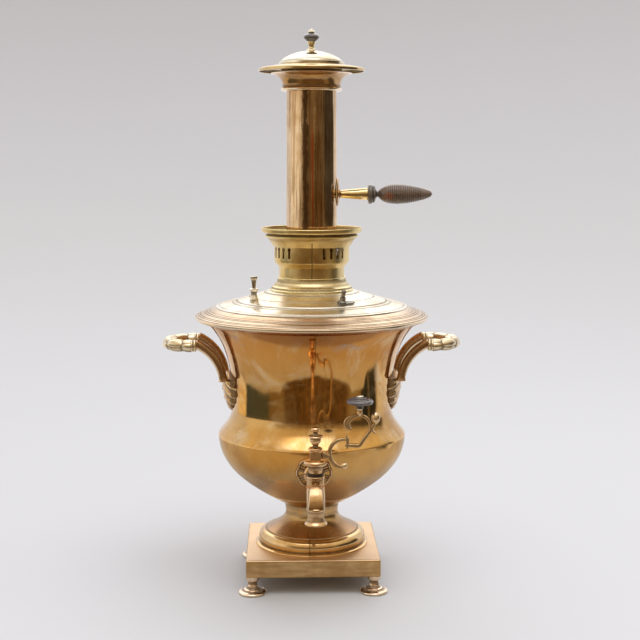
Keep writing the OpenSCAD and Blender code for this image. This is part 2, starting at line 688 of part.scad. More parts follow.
// Black knob: a flat turned disc with ring grooves on a short neck.
module branch_knob() {
  r = branch_knob_r;
  color(black_wood)
  translate([stem_x, -tap_reach, stem_top])
    rotate_extrude()
      polygon([[screw_r + rod_fit, 0], [3.6, 0], [3.2, 1.6], [4.4, 3], [0.63 * r, 3.8], [r - 1.2, 4.9],
        [r, 6.6], [r, 7.6], [r - 0.8, 9.2], [0.8 * r, 10.2], [0.75 * r, 9.8], [0.7 * r, 10.6],
        [0.54 * r, 11.3], [0.5 * r, 10.9], [0.45 * r, 11.6], [3.9, 11.8], [screw_r + rod_fit, 11.8]]);
}

module knob_screw() {
  color(pale_brass)
  translate([stem_x, -tap_reach, stem_top])
    rotate_extrude($fn = 48)
      polygon([[0, -4.6], [screw_r, -4.6], [screw_r, 11.8], [3.7, 11.8], [3.7, 12.5], [2.6, 13.4],
        [0, 13.8]]);
}

// A place on the lid's slope: local x runs round the lid, z stands square to it.
module on_lid(az) {
  rotate([0, 0, az]) translate([0, -fitting_r, fitting_z]) rotate([lid_pitch, 0, 0]) children();
}
hole_reach = 9.5;
vent_stud_r = 1.9;
plate_gap = 0.3;

// Lid: spun plate with a locating spigot, a steam hole and a hole for the vent's screw.
module lid_plate() {
  face = [[lid_r, lid_z + sheet + 0.1], [lid_r - 6.6, lid_z + 0.43 * step_h], [step_r + 3, step_z - 1.4],
    [step_r + 0.5, step_z - 0.9], [step_r, step_z], [land_r, land_z], [neck_r + 0.4, land_z]];
  under = reversed(inset(face, sheet, "plumb", "plumb"));
  color(pale_brass)
  difference() {
    rotate_extrude()
      polygon(concat([[lid_r, lid_z]], face, under, [[lid_r - 0.6, lid_z]]));
    on_lid(vent_az) {
      cylinder(h = 12, r = vent_stud_r + rod_fit, center = true, $fn = 32);
      translate([hole_reach, 0, 0]) cylinder(h = 12, r = 1.6, center = true, $fn = 32);
    }
  }
  color(pale_brass)
  rotate_extrude()
    polygon([[spigot_r - 1.2, lid_z - spigot_drop], [spigot_r, lid_z - spigot_drop],
      [spigot_r, lid_z + 0.46 * step_h - 0.3], [spigot_r - 1.2, lid_z + 0.49 * step_h - 0.3]]);
}

// Neck: turned ring with two beads and a flare, open for the flue.
module lid_neck() {
  k = neck_h;
  color(pale_brass)
  rotate_extrude()
    polygon([[neck_bore, land_z], [land_r - 0.9, land_z], [land_r - 0.9, land_z + 0.11 * k],
      [land_r - 2.2, land_z + 0.16 * k], [land_r - 3.2, land_z + 0.24 * k], [land_r - 3.2, land_z + 0.3 * k],
      [land_r - 4.6, land_z + 0.36 * k], [land_r - 6.2, land_z + 0.45 * k],
      [neck_r + 1.9, land_z + 0.58 * k],
      [neck_r + 0.5, land_z + 0.7 * k], [neck_r, land_z + 0.82 * k], [neck_r, neck_z - 0.4],
      [neck_r - 0.4, neck_z], [neck_bore, neck_z]]);
}

// Post: a small turned baluster whose foot follows the lid's slope; its knob is lost.
module lid_post() {
  at = fitting_r * [sin(post_az), -cos(post_az)];
  color(dark_brass)
  difference() {
    translate([at.x, at.y, fitting_z])
      rotate_extrude($fn = 48)
        polygon([[vent_stud_r + rod_fit, -3], [4.9, -3], [4.9, 1.7], [4.1, 4], [3, 7], [3.2, 9.4], [5.1, 12],
          [5.1, 12.8], [3.4, 13.6], [vent_stud_r + rod_fit, 13.6]]);
    on_lid(post_az) translate([-12, -12, -24 + seat]) cube(24);
  }
}

module lid_post_screw() {
  at = fitting_r * [sin(post_az), -cos(post_az)];
  color(steel)
  translate([at.x, at.y, fitting_z])
    rotate_extrude($fn = 48)
      polygon([[0, 3], [vent_stud_r, 3], [vent_stud_r, 13.8], [2.4, 18], [2.7, 22], [3.9, 24], [4.1, 24.4],
        [4.1, 26], [3.6, 26.4], [0, 26.2]]);
}

// Vent: a plate with a tongue swings on a screw and shuts the steam hole.
module vent_plate() {
  color(steel)
  on_lid(vent_az)
    difference() {
      translate([0, 0, plate_gap])
        linear_extrude(height = 1.2)
          union() {
            circle(r = 5.4, $fn = 48);
            polygon([[0, -4.4], [hole_reach + 2, -2.8], [hole_reach + 5, -1.4], [hole_reach + 5, 1.4],
              [hole_reach + 2, 2.8], [0, 4.4]]);
          }
      cylinder(h = 12, r = vent_stud_r + rod_fit, center = true, $fn = 32);
    }
}

module vent_base() {
  bottom = plate_gap + 1.3;
  color(steel)
  on_lid(vent_az)
    translate([0, 0, bottom])
      rotate_extrude($fn = 48)
        polygon([[vent_stud_r + rod_fit, 0], [4.4, 0], [4.4, 0.8], [3.4, 1.6], [2.8, 2.6],
          [vent_stud_r + rod_fit, 2.6]]);
}

module vent_nut() {
  bottom = plate_gap + 3.9;
  color(steel)
  on_lid(vent_az)
    translate([0, 0, bottom])
      difference() {
        cylinder(h = 3, r = 3.5, $fn = 6);
        translate([0, 0, -1]) cylinder(h = 5, r = vent_stud_r + rod_fit, $fn = 32);
      }
}

module vent_screw() {
  head = sheet + 2 * seat;
  color(steel)
  on_lid(vent_az)
    rotate_extrude($fn = 48)
      polygon([[0, -head - 1.4], [3, -head - 1.4], [3.6, -head - 0.8], [3.6, -head], [vent_stud_r, -head],
        [vent_stud_r, 9], [2.4, 11], [2.4, 14.6], [2, 15], [0, 15]]);
}

// Crown band: skirt on the lid's neck, lower lip and band with four groups of keyhole slots.
module crown_band() {
  lip_z = neck_z + skirt_h;
  slot_z = band_z - 12.2;
  slot_h = 9.6;
  first_group = 35.4;
  color(pale_brass)
  difference() {
    union() {
      spun([[neck_r, neck_z], [neck_r, lip_z - 0.3], [neck_r + 0.6, lip_z + 0.4],
      [band_r - 0.9, lip_z + 4.6],
        [band_r - 0.2, lip_z + 5.4], [band_r, lip_z + 6.4], [band_r, band_z]], "level", "level");
      rotate_extrude()
        polygon([[sleeve_in, neck_z - sleeve_drop], [sleeve_out, neck_z - sleeve_drop], [sleeve_out, neck_z],
          [neck_r - sheet / 2, neck_z], [neck_r - sheet / 2, neck_z + 1.2], [sleeve_in, neck_z + 1.2]]);
    }
    for (g = [0 : 3], i = [0 : slots_per_group - 1])
      rotate([0, 0, first_group + 90 * g + slot_pitch * (i - (slots_per_group - 1) / 2)])
        translate([0, -band_r, slot_z]) {
          translate([-slot_w / 2, -4, 0]) cube([slot_w, 8, slot_h]);
          translate([0, 0, slot_h]) rotate([90, 0, 0])
            cylinder(h = 8, r = 0.72 * slot_w, center = true, $fn = 32);
        }
  }
}

// Crown dish: a flared bowl with a rolled rim; a teapot stands on its floor.
module crown_dish() {
  k = dish_h;
  hole = pipe_r + lift_fit + 0.3;
  color(pale_brass)
  rotate_extrude()
    polygon([[band_r + 1.2, band_z], [band_r + 2.2, band_z + 0.08 * k], [band_r + 3.8, band_z + 0.22 * k],
      [dish_r - 7.9, band_z + 0.38 * k], [dish_r - 5.3, band_z + 0.485 * k],
      [dish_r - 3.7, band_z + 0.525 * k], [dish_r - 3.7, band_z + 0.585 * k],
      [dish_r - 5.7, band_z + 0.61 * k],
      [dish_r - 6.1, band_z + 0.665 * k], [dish_r - 5.1, band_z + 0.71 * k],
      [dish_r - 1.9, band_z + 0.73 * k], [dish_r - 0.4, band_z + 0.79 * k],
      [dish_r, band_z + 0.885 * k], [dish_r, band_z + 0.97 * k], [dish_r - 0.6, band_z + k],
      [dish_r - 1.4, band_z + 0.98 * k], [dish_r - 1.6, band_z + 0.89 * k], [dish_r - 2.7, band_z + 0.8 * k],
      [dish_r - 5.4, band_z + 0.757 * k], [dish_r - 8.9, floor_z], [hole, floor_z],
      [hole, floor_z - floor_t],
      [dish_r - 9.3, floor_z - floor_t], [dish_r - 8, band_z + 0.57 * k], [dish_r - 8.9, band_z + 0.45 * k],
      [band_r + 2.4, band_z + 0.27 * k], [band_r + 0.6, band_z + 0.12 * k], [band_r, band_z]]);
}

// Pipe: a slightly tapered tube whose lower end stands in the flue.
module chimney_tube() {
  foot = floor_z - pipe_drop;
  color(brass)
  difference() {
    spun([[pipe_at(foot), foot], [pipe_at(collar_z), collar_z - seat]], "level", "level");
    translate([pipe_r - 6, 0, grip_level]) rotate([0, 90, 0])
      cylinder(h = 12, r = tang_r + rod_fit, $fn = 32);
  }
}

// Foot ring of the pipe: it rests on the dish's floor.
module chimney_foot() {
  bore = pipe_at(floor_z) + seat;
  color(brass)
  rotate_extrude()
    polygon([[bore, floor_z], [pipe_r + 4.8, floor_z], [pipe_r + 4.8, floor_z + 1.1],
      [pipe_r + 3, floor_z + 2.4], [bore + 0.8, floor_z + 3], [bore, floor_z + 3]]);
}

// Collar of the pipe: a bead, a waist and a wide flange.
module chimney_collar() {
  low = collar_z - 19.4;
  bore = pipe_at(low) + seat;
  color(rosy_brass)
  rotate_extrude()
    polygon(concat([[bore, low], [pipe_r + 3.6, low], [pipe_r + 4.8, low + 0.9], [pipe_r + 4.9, low + 2.2],
        [pipe_r + 4, low + 3.4]],
      bezier([pipe_r + 3.3, low + 5], [pipe_r + 3.2, low + 12], [collar_r - 9, low + 16.5],
        [collar_r - 1, collar_z - 0.9], 8),
      [[collar_r, collar_z - 0.7], [collar_r, collar_z], [bore, collar_z]]));
}

// Boss: an oval plate that hugs the pipe, with a round seat for the stem.
module handle_boss() {
  skin = pipe_r + seat;
  plate_z = grip_level + 2.4;
  color(brass)
  difference() {
    union() {
      intersection() {
        translate([0, 0, plate_z]) rotate([90, 0, 90])
          linear_extrude(height = 2 * pipe_r) polygon(oval(0, 10, 16, 40));
        rotate_extrude()
          polygon([[skin, plate_z - 17], [skin + 0.7, plate_z - 17], [skin + 2, plate_z - 8],
            [skin + 2.4, plate_z], [skin + 2, plate_z + 8], [skin + 0.7, plate_z + 17],
            [skin, plate_z + 17]]);
      }
      translate([skin + 0.4, 0, grip_level]) rotate([0, 90, 0]) cylinder(h = 3.2, r1 = 6.5, r2 = 4.4);
    }
    cylinder(h = 2 * collar_z, r = skin);
    translate([skin - 4, 0, grip_level]) rotate([0, 90, 0]) cylinder(h = 12, r = tang_r + rod_fit, $fn = 32);
  }
}
stem_start = pipe_r + 3.8;
ring_start = stem_start + 29;
grip_start = ring_start + 11.4;

// A turned piece on the pipe handle's axis, given as radius and distance from the urn's axis.
module on_handle(points) {
  translate([0, 0, grip_level]) rotate([0, 90, 0]) rotate_extrude() polygon(points);
}

module handle_stem() {
  bore = tang_r + rod_fit;
  color(brass)
  on_handle([[bore, stem_start], [4.4, stem_start], [3.6, stem_start + 1], [7, ring_start],
    [bore, ring_start]]);
}

module handle_ring() {
  bore = tang_r + rod_fit;
  color(iron)
  on_handle([[bore, ring_start], [8.4, ring_start], [10.6, ring_start + 1], [11.1, ring_start + 2.6],
    [10.8, ring_start + 4.4], [9.6, ring_start + 5.4], [10.1, ring_start + 6.6], [9, ring_start + 8],
    [5.6, ring_start + 9.4], [3.4, ring_start + 10.4], [3.1, grip_start], [bore, grip_start]]);
}

// Grip: turned wood, fullest near its root and pointed at its end.
module handle_grip() {
  bore = tang_r + rod_fit;
  l = grip_l;
  core = 0.76 * l;
  color(brown_wood)
  on_handle(concat([[0, grip_start + core], [bore, grip_start + core], [bore, grip_start],
  [3.4, grip_start]],
    bezier([3.6, grip_start + 0.6], [0.66 * grip_r, grip_start + 0.06 * l], [grip_r, grip_start + 0.14 * l],
      [grip_r, grip_start + 0.33 * l], 7),
    bezier([grip_r, grip_start + 0.42 * l], [grip_r, grip_start + 0.6 * l],
      [0.6 * grip_r, grip_start + 0.86 * l], [0.3 * grip_r, grip_start + 0.97 * l], 8),
    [[0.14 * grip_r, grip_start + l], [0, grip_start + l]]));
}

// Tang: a steel rod from a rivet head inside the pipe to the middle of the grip.
module handle_tang() {
  head = pipe_at(grip_level) - sheet - 0.6;
  color(steel)
  on_handle([[0, head - 1.4], [2.6, head - 1.4], [3.4, head - 0.7], [3.4, head], [tang_r, head],
    [tang_r, grip_start + 0.75 * grip_l], [0, grip_start + 0.75 * grip_l]]);
}

// Cap: a brim with a turned-down edge, a sleeve that stands in the pipe, a dome and a small finial.
brim_z = collar_z + 9;
module cap_plate() {
  color(pale_brass)
  spun([[brim_r, brim_z - 7.6], [brim_r, brim_z - 5.2], [brim_r - 0.9, brim_z - 4.2],
    [brim_r - 3.4, brim_z - 3.4], [dome_r + 2.6, brim_z - 0.2], [dome_r + 1.4, brim_z],
    [dome_r - 5, brim_z]], "level", "plumb");
}

module cap_sleeve() {
  plug_out = pipe_at(collar_z) - sheet - lift_fit;
  wide = 33;
  color(dark_brass)
  spun([[plug_out, collar_z - 12], [plug_out, collar_z], [wide, collar_z], [wide, brim_z - sheet - seat]],
    "level", "level");
}

module cap_dome() {
  curve = bezier([dome_r - 0.1, brim_z + 2.6], [dome_r - 2.6, brim_z + 0.6 * dome_h],
    [0.57 * dome_r, brim_z + dome_h + 1.2], [5.4, brim_z + 2.6 + dome_h], 10);
  top = brim_z + 2.6 + dome_h;
  outer = concat(curve, [[0, top]]);
  color(pale_brass)
  rotate_extrude()
    polygon(concat([[dome_r - 2, brim_z], [dome_r + 1.2, brim_z], [dome_r + 1.2, brim_z + 2.6]], outer,
      reversed(inset(outer, sheet, "level", "plumb"))));
}
finial_base = brim_z + 2.6 + dome_h;

module finial_stem() {
  color(dark_brass)
  translate([0, 0, finial_base])
    rotate_extrude()
      polygon([[0, 0], [5.4, 0], [5.4, 0.8], [3.4, 1.6], [2.7, 2.4], [2.7, 3.6], [2.8, 4.2], [5.1, 9.8],
        [0, 9.8]]);
}

module finial_knob() {
  r = knob_r;
  color(black_wood)
  translate([0, 0, finial_base + 9.8])
    rotate_extrude()
      polygon([[0, 0], [5, 0], [0.7 * r, 1.2], [0.93 * r, 2.8], [r, 4.4], [0.94 * r, 6], [0.74 * r, 7.4],
        [4.4, 8.2], [0, 8.2]]);
}

module finial_tip() {
  color(pale_brass)
  translate([0, 0, finial_base + 18])
    rotate_extrude()
      polygon([[0, 0], [3, 0], [3.2, 0.7], [4, 1.2], [4.1, 2], [3.2, 2.8], [2.5, 3.4], [2.2, 4.4],
        [1.2, 4.9], [0, 4.9]]);
}

plinth();
corner_plates();
foot_front_left();
foot_front_right();
foot_rear_left();
foot_rear_right();
foot_nuts();
pedestal();
bowl();
body_wall();
rim_ring();
fire_tube();
grate();
left_handle_loop();
right_handle_loop();
left_handle_leaf();
right_handle_leaf();
tap_rosette();
tap_body();
tap_plug();
plug_washer();
tap_finial();
scroll_branch();
branch_knob();
knob_screw();
lid_plate();
lid_neck();
lid_post();
lid_post_screw();
vent_plate();
vent_base();
vent_nut();
vent_screw();
crown_band();
crown_dish();
chimney_tube();
chimney_foot();
chimney_collar();
handle_boss();
handle_stem();
handle_ring();
handle_grip();
handle_tang();
cap_plate();
cap_sleeve();
cap_dome();
finial_stem();
finial_knob();
finial_tip();
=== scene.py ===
"""Charcoal samovar: its finished surfaces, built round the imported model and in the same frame."""
import functools
import json
import math

import bpy
import numpy as np
from bpy.props import FloatProperty, FloatVectorProperty, PointerProperty
from mathutils import Euler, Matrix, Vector

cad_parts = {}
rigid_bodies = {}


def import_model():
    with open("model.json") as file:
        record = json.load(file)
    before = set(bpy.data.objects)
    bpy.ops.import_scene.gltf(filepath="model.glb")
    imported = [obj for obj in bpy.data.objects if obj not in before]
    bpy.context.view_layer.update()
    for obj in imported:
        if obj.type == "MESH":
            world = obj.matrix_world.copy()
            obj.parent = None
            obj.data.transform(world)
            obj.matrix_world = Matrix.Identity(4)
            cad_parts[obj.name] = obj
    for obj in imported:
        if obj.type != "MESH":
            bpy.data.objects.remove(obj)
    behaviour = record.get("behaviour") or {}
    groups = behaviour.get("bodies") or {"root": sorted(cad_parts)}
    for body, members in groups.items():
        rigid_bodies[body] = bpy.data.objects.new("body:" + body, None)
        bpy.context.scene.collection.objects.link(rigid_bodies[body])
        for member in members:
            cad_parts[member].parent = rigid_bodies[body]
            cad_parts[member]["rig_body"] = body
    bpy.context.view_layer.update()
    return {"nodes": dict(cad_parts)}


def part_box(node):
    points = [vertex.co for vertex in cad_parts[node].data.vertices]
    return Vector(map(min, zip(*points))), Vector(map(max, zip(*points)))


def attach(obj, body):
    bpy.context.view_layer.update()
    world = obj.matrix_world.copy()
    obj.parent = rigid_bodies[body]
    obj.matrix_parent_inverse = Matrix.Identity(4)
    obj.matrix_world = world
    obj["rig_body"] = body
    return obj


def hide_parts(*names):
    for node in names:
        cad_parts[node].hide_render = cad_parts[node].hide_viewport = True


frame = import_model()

bl_info = {
    "name": "Samovar looks",
    "version": (1, 0, 0),
    "blender": (4, 5, 0),
    "location": "3D View > Sidebar > Samovar",
    "description": "Builds the finished surfaces of a charcoal samovar round its frame",
    "category": "Object",
}

MM = 0.001
NODES = frame["nodes"]

# Sizes that the frame's boxes don't give, in millimetres.
SHEET = 1.2
SEAT = 0.1
SHOULDER_R = 104.0
WAIST_R = 88.3
PEDESTAL_NECK_R = 29.0
FLARE_R = 52.0
STEP_R = 81.0
LAND_R = 46.8
NECK_R = 37.3
NECK_BORE = 35.3
BAND_R = 41.0
LID_PITCH = math.radians(16.5)
SHARP_EDGE = math.radians(32)
POST_AZIMUTH = -59.7
VENT_AZIMUTH = 24.8
FITTING_R = 72.6
PIPE_R = 28.2
PIPE_DROP = 46.0
PIPE_TAPER = 1.1
GRIP_BORE = 2.1
BARREL_R = 8.8
PLUG_CUP_H = 13.4
BLOCK_HALF = 5.5
SCROLL_R = 15.9
ARCH_R = 11.1
SPOUT_REACH = 17.0
NOZZLE_H = 17.2
HANDLE_REACH = 165.0
ARM_GAP = 54.0
ARM_R = 48.7
ARM_Z = 58.6
BEND_Z = 101.3
LEAF_Z = 62.6


# ---------------------------------------------------------------- levels from the frame

@functools.lru_cache(maxsize=None)
def corners(node):
    lowest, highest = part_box(node)
    return [x / MM for x in lowest], [x / MM for x in highest]


def low(node, axis=2):
    return corners(node)[0][axis]


def high(node, axis=2):
    return corners(node)[1][axis]


def middle(node, axis):
    return (low(node, axis) + high(node, axis)) / 2


PLINTH_Z = high("plinth")
BOWL_Z = low("bowl") - SHEET - SEAT
SHOULDER_Z = high("bowl")
BOWL_H = SHOULDER_Z - BOWL_Z
RIM_Z = low("rim_ring") - 2
WALL_H = RIM_Z - SHOULDER_Z
RIM_R = high("rim_ring", 0)
LID_Z = high("rim_ring")
LID_STEP_Z = LID_Z + 7.9
LAND_Z = low("lid_neck")
NECK_Z = high("lid_neck")
BAND_Z = low("crown_dish")
DISH_H = high("crown_dish") - BAND_Z
FLOOR_Z = low("chimney_foot")
COLLAR_Z = high("chimney_collar")
BRIM_Z = low("cap_dome")
KEY_Y = middle("plug_washer", 1)
BARREL_TOP = low("plug_washer") - SEAT / 2
SHANK_Z = BARREL_TOP - 11.2
SPOUT_Z = SHANK_Z - 1
KEY_Z = low("plug_washer") + 2.6 + SEAT / 2
GRIP_LEVEL = middle("handle_grip", 2)


# ---------------------------------------------------------------- profiles, as arrays of (radius, height)

def bezier(p0, p1, p2, p3, n=36):
    """(1-t)^3 p0 + 3 (1-t)^2 t p1 + 3 (1-t) t^2 p2 + t^3 p3, at n + 1 even values of t."""
    t = np.linspace(0, 1, n + 1)[:, None]
    p0, p1, p2, p3 = (np.asarray(p, float) for p in (p0, p1, p2, p3))
    return (1 - t) ** 3 * p0 + 3 * (1 - t) ** 2 * t * p1 + 3 * (1 - t) * t * t * p2 + t ** 3 * p3


def arc(centre, r, start, end, n=24):
    """centre + r (cos a, sin a), for n + 1 angles a from start to end, in degrees."""
    a = np.radians(np.linspace(start, end, n + 1))
    return np.asarray(centre, float) + r * np.stack([np.cos(a), np.sin(a)], 1)


def joined(*parts):
    return np.concatenate([np.atleast_2d(np.asarray(p, float)) for p in parts])


def unit(v):
    return v / np.maximum(np.linalg.norm(v, axis=-1, keepdims=True), 1e-12)


def circle(n):
    """n even angles of a full turn."""
    return np.linspace(0, 2 * np.pi, n, endpoint=False)


def bell(x, width):
    """exp(-(x / width)^2)"""
    return np.exp(-(x / width) ** 2)


def held(x):
    """x held between 0 and 1."""
    return np.clip(x, 0, 1)


def left_normal(path):
    """The tangent (dx, dy) turned a quarter to the left, (-dy, dx)."""
    t = unit(np.gradient(path, axis=0))
    return np.stack([-t[:, 1], t[:, 0]], 1)


def inset(path, t):
    """path(s) + t n(s), with n to the left of the way along it."""
    return path + t * left_normal(path)


def lengths(path):
    return np.concatenate([[0], np.cumsum(np.linalg.norm(np.diff(path, axis=0), axis=1))])


def rounded(points, radius, closed=False, steps=3):
    """Each sharp corner b between a and c becomes (1-t)^2 p + 2 t (1-t) b + t^2 q, where p and q lie on its
    two sides at most radius away, and one more point on each side holds the flats flat."""
    p = np.asarray(points, float)
    before, after = np.roll(p, 1, 0) - p, np.roll(p, -1, 0) - p
    la, lb = np.linalg.norm(before, axis=1), np.linalg.norm(after, axis=1)
    u, v = unit(before), unit(after)
    cut = np.minimum(radius, 0.36 * np.minimum(la, lb))[:, None]
    sharp = np.degrees(np.arccos(np.clip(-(u * v).sum(1), -1, 1))) > 13
    if not closed:
        sharp[[0, -1]] = False
    t = np.linspace(0, 1, steps + 1)[:, None, None]
    bend = (1 - t) ** 2 * (p + u * cut) + 2 * t * (1 - t) * p + t * t * (p + v * cut)
    rows = np.concatenate([(p + 1.35 * cut * u)[None], bend, (p + 1.35 * cut * v)[None]])
    keep = np.tile(sharp, (steps + 3, 1))
    centre = (steps + 3) // 2
    rows[centre] = np.where(sharp[:, None], rows[centre], p)
    keep[centre] = True
    return rows.transpose(1, 0, 2)[keep.T]


def chased(path, at, depth=0.3, width=0.45):
    """Fine turned grooves: path(s) - n(s) depth sum exp(-((s - at) / width)^2), with n outwards."""
    s = lengths(path)
    at = np.asarray(at, float)
    more = (at[:, None] + width * np.linspace(-2.2, 2.2, 9)).ravel()
    t = np.unique(np.concatenate([s, more[(more > 0) & (more < s[-1])]]))
    p = np.stack([np.interp(t, s, path[:, i]) for i in (0, 1)], 1)
    cut = depth * bell(t[:, None] - at, width).sum(1)
    return p + left_normal(p) * cut[:, None]


def hollows(path, width, closed):
    """How deep each point lies in a groove: (mean of its neighbours - point) . outward normal / width, where
    neighbours at distance d along the path weigh exp(-(d / width)^2)."""
    step = np.linalg.norm(np.roll(path, -1, 0) - path, axis=1)
    s = np.concatenate([[0], np.cumsum(step[:-1])])
    gap = s[:, None] - s[None]
    if closed:
        total = step.sum()
        gap = (gap + total / 2) % total - total / 2
    weight = bell(gap, width) * (step + np.roll(step, 1))
    mean = weight @ path / weight.sum(1, keepdims=True)
    t = unit(np.roll(path, -1, 0) - np.roll(path, 1, 0))
    outward = np.stack([t[:, 1], -t[:, 0]], 1)
    h = ((mean - path) * outward).sum(1) / width
    if not closed:
        h[[0, -1]] = h[[1, -2]]
    return h


# ---------------------------------------------------------------- meshes and pieces

def skin(name, grid, wrap_rows=False, hollow=None):
    """A mesh through a grid of points, in millimetres: four neighbours make a face, the last column meets the
    first, and a row whose points coincide makes a pole. The faces of a closed form point outwards, by the sign
    of its volume."""
    rows, columns, _ = grid.shape
    index = np.arange(rows * columns).reshape(rows, columns)
    pole = np.ptp(grid, axis=1).max(1) < 1e-6
    index[pole] = index[pole][:, :1]
    if wrap_rows:
        index = np.concatenate([index, index[:1]])
    index = np.concatenate([index, index[:, :1]], 1)
    faces = np.stack([index[:-1, :-1], index[:-1, 1:], index[1:, 1:], index[1:, :-1]], -1).reshape(-1, 4)
    used, faces = np.unique(faces, return_inverse=True)
    faces = faces.reshape(-1, 4)
    points = grid.reshape(-1, 3)[used] * MM
    p = points[faces]
    volume = (np.cross(p[:, 0], p[:, 1]) * p[:, 2] + np.cross(p[:, 0], p[:, 2]) * p[:, 3]).sum()
    if volume < 0:
        faces = faces[:, ::-1]
    first, last = faces[:, 0] == faces[:, 1], faces[:, 2] == faces[:, 3]
    quads = faces[~first & ~last]
    threes = np.concatenate([faces[first & ~last][:, 1:], faces[last & ~first][:, :3]])
    return face_mesh(name, points, quads, threes, None if hollow is None else hollow.reshape(-1)[used])


def face_mesh(name, points, quads, threes, hollow):
    loops = np.concatenate([quads.ravel(), threes.ravel()]).astype(np.int32)
    sizes = np.repeat([4, 3], [len(quads), len(threes)])
    mesh = bpy.data.meshes.new(name)
    mesh.vertices.add(len(points))
    mesh.loops.add(len(loops))
    mesh.polygons.add(len(sizes))
    mesh.vertices.foreach_set("co", points.astype(np.float32).ravel())
    mesh.loops.foreach_set("vertex_index", loops)
    mesh.polygons.foreach_set("loop_start", (np.cumsum(sizes) - sizes).astype(np.int32))
    mesh.polygons.foreach_set("use_smooth", np.ones(len(sizes), bool))
    mesh.update(calc_edges=True)
    mesh.validate()
    if hollow is not None:
        attribute = mesh.attributes.new("hollow", "FLOAT", "POINT")
        attribute.data.foreach_set("value", hollow.astype(np.float32))
    return mesh


def piece(name, mesh, node, material):
    """A finished piece: it rides on the node's body and stands for it."""
    made = bpy.data.objects.new(name, mesh)
    bpy.context.scene.collection.objects.link(made)
    mesh.materials.append(material)
    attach(made, NODES[node]["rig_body"])
    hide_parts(node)
    return made


def placed(points, origin, axes):
    """origin + x X + y Y + z Z, for axes given as the rows X, Y and Z."""
    return points @ np.asarray(axes, float) + np.asarray(origin, float)


UPRIGHT = np.eye(3)
ALONG_X = np.array([[0, 0, -1], [0, 1, 0], [1, 0, 0]])
ALONG_MINUS_Y = np.array([[1, 0, 0], [0, 0, 1], [0, -1, 0]])


def turned(name, points, node, material, origin=(0, 0, 0), axes=UPRIGHT, steps=96, edge=0.4, width=1.6,
           wobble=0.0):
    """A turned piece: (s, a) -> (r(s) cos a, r(s) sin a, z(s)), for a profile (r, z) that is closed, or that
    starts and ends on the axis. wobble is the height of the slight waves of hand-spun sheet: r grows by
    wobble (sin(3 a + z / 17) + 0.6 sin(7 a - z / 11))."""
    p = np.asarray(points, float)
    area = (p[:, 0] * np.roll(p[:, 1], -1) - np.roll(p[:, 0], -1) * p[:, 1]).sum()
    if area < 0:
        p = p[::-1]
    closed = not (p[0, 0] < 1e-6 and p[-1, 0] < 1e-6)
    p = rounded(p, edge, closed)
    hollow = hollows(p, width, closed)
    a = circle(steps)
    r, z = p[:, :1], p[:, 1:]
    waves = np.sin(3 * a + z / 17) + 0.6 * np.sin(7 * a - z / 11)
    r = r + wobble * sizes().spinning_waves * waves * np.minimum(r / 20, 1)
    grid = np.stack([r * np.cos(a), r * np.sin(a), z + 0 * a], -1)
    mesh = skin(name, placed(grid, origin, axes), wrap_rows=closed, hollow=np.repeat(hollow, steps))
    return piece(name, mesh, node, material)


def strand(path, across, up, half_w, half_t, columns=20, power=1.0, blunt=0.5):
    """A cast bar along a path: (s, a) -> C(s) + c(s) w(s) |cos a|^p across + c(s) t(s) |sin a|^p up, with the
    signs kept; c(s) rounds both ends off over about blunt half widths."""
    a = circle(columns)
    cos, sin = (np.sign(f) * np.abs(f) ** power for f in (np.cos(a), np.sin(a)))
    s = lengths(path)
    ends = np.minimum(s, s[-1] - s) / np.maximum(blunt * half_w, 1e-6)
    cap = np.sqrt(held(1 - (1 - held(ends)) ** 2))
    w, t = (cap * half_w)[:, None, None], (cap * half_t)[:, None, None]
    return path[:, None] + w * cos[None, :, None] * across[:, None] + t * sin[None, :, None] * up[:, None]


def end_spaced(n, end=0.06, k=6):
    """n + 1 values from 0 to 1 with k more crowded near each end, for rounded ends."""
    crowd = end * (1 - np.cos(np.linspace(0, np.pi / 2, k + 1)))
    return np.unique(np.concatenate([crowd, np.linspace(end, 1 - end, n + 1), 1 - crowd]).round(9))


def with_poles(grid, hollow):
    """The grid with one more point at each end, in the middle of its end row."""
    start, end = (np.tile(grid[i].mean(0), (1, grid.shape[1], 1)) for i in (0, -1))
    return np.concatenate([start, grid, end]), np.concatenate([hollow[:1], hollow, hollow[-1:]])


def on_drum(r, side):
    """How far out a point of a drum of radius r lies that is side off its middle: (r^2 - side^2)^0.5."""
    return np.sqrt(np.maximum(r ** 2 - side ** 2, 1))


def resampled(path, t):
    """The path at the shares t of its length."""
    s = lengths(path)
    return np.stack([np.interp(t * s[-1], s, path[:, i]) for i in range(path.shape[1])], 1)


def flat_strand(name, points, widths, thickness, node, material, y=0.0, n=60, power=0.62):
    """A strand in the plane y, through points (x, z), with widths given at even shares of its length."""
    t = end_spaced(n)
    p = resampled(np.asarray(points, float), t)
    normal = left_normal(p)
    w = np.interp(t, np.linspace(0, 1, len(widths)), widths) / 2
    centre = np.stack([p[:, 0], np.full(len(t), y), p[:, 1]], 1)
    across = np.stack([normal[:, 0], 0 * t, normal[:, 1]], 1)
    up = np.tile([0.0, 1.0, 0.0], (len(t), 1))
    grid = strand(centre, across, up, w, np.full(len(t), thickness / 2), power=power)
    cos = np.cos(circle(20))
    # Painted shade across the middle of both flat faces and painted highlights along the edges.
    hollow = 0.1 * bell(cos, 0.4) - 0.14 * np.abs(cos) ** 4 + 0 * t[:, None]
    return piece(name, skin(name, grid, hollow=hollow), node, material)


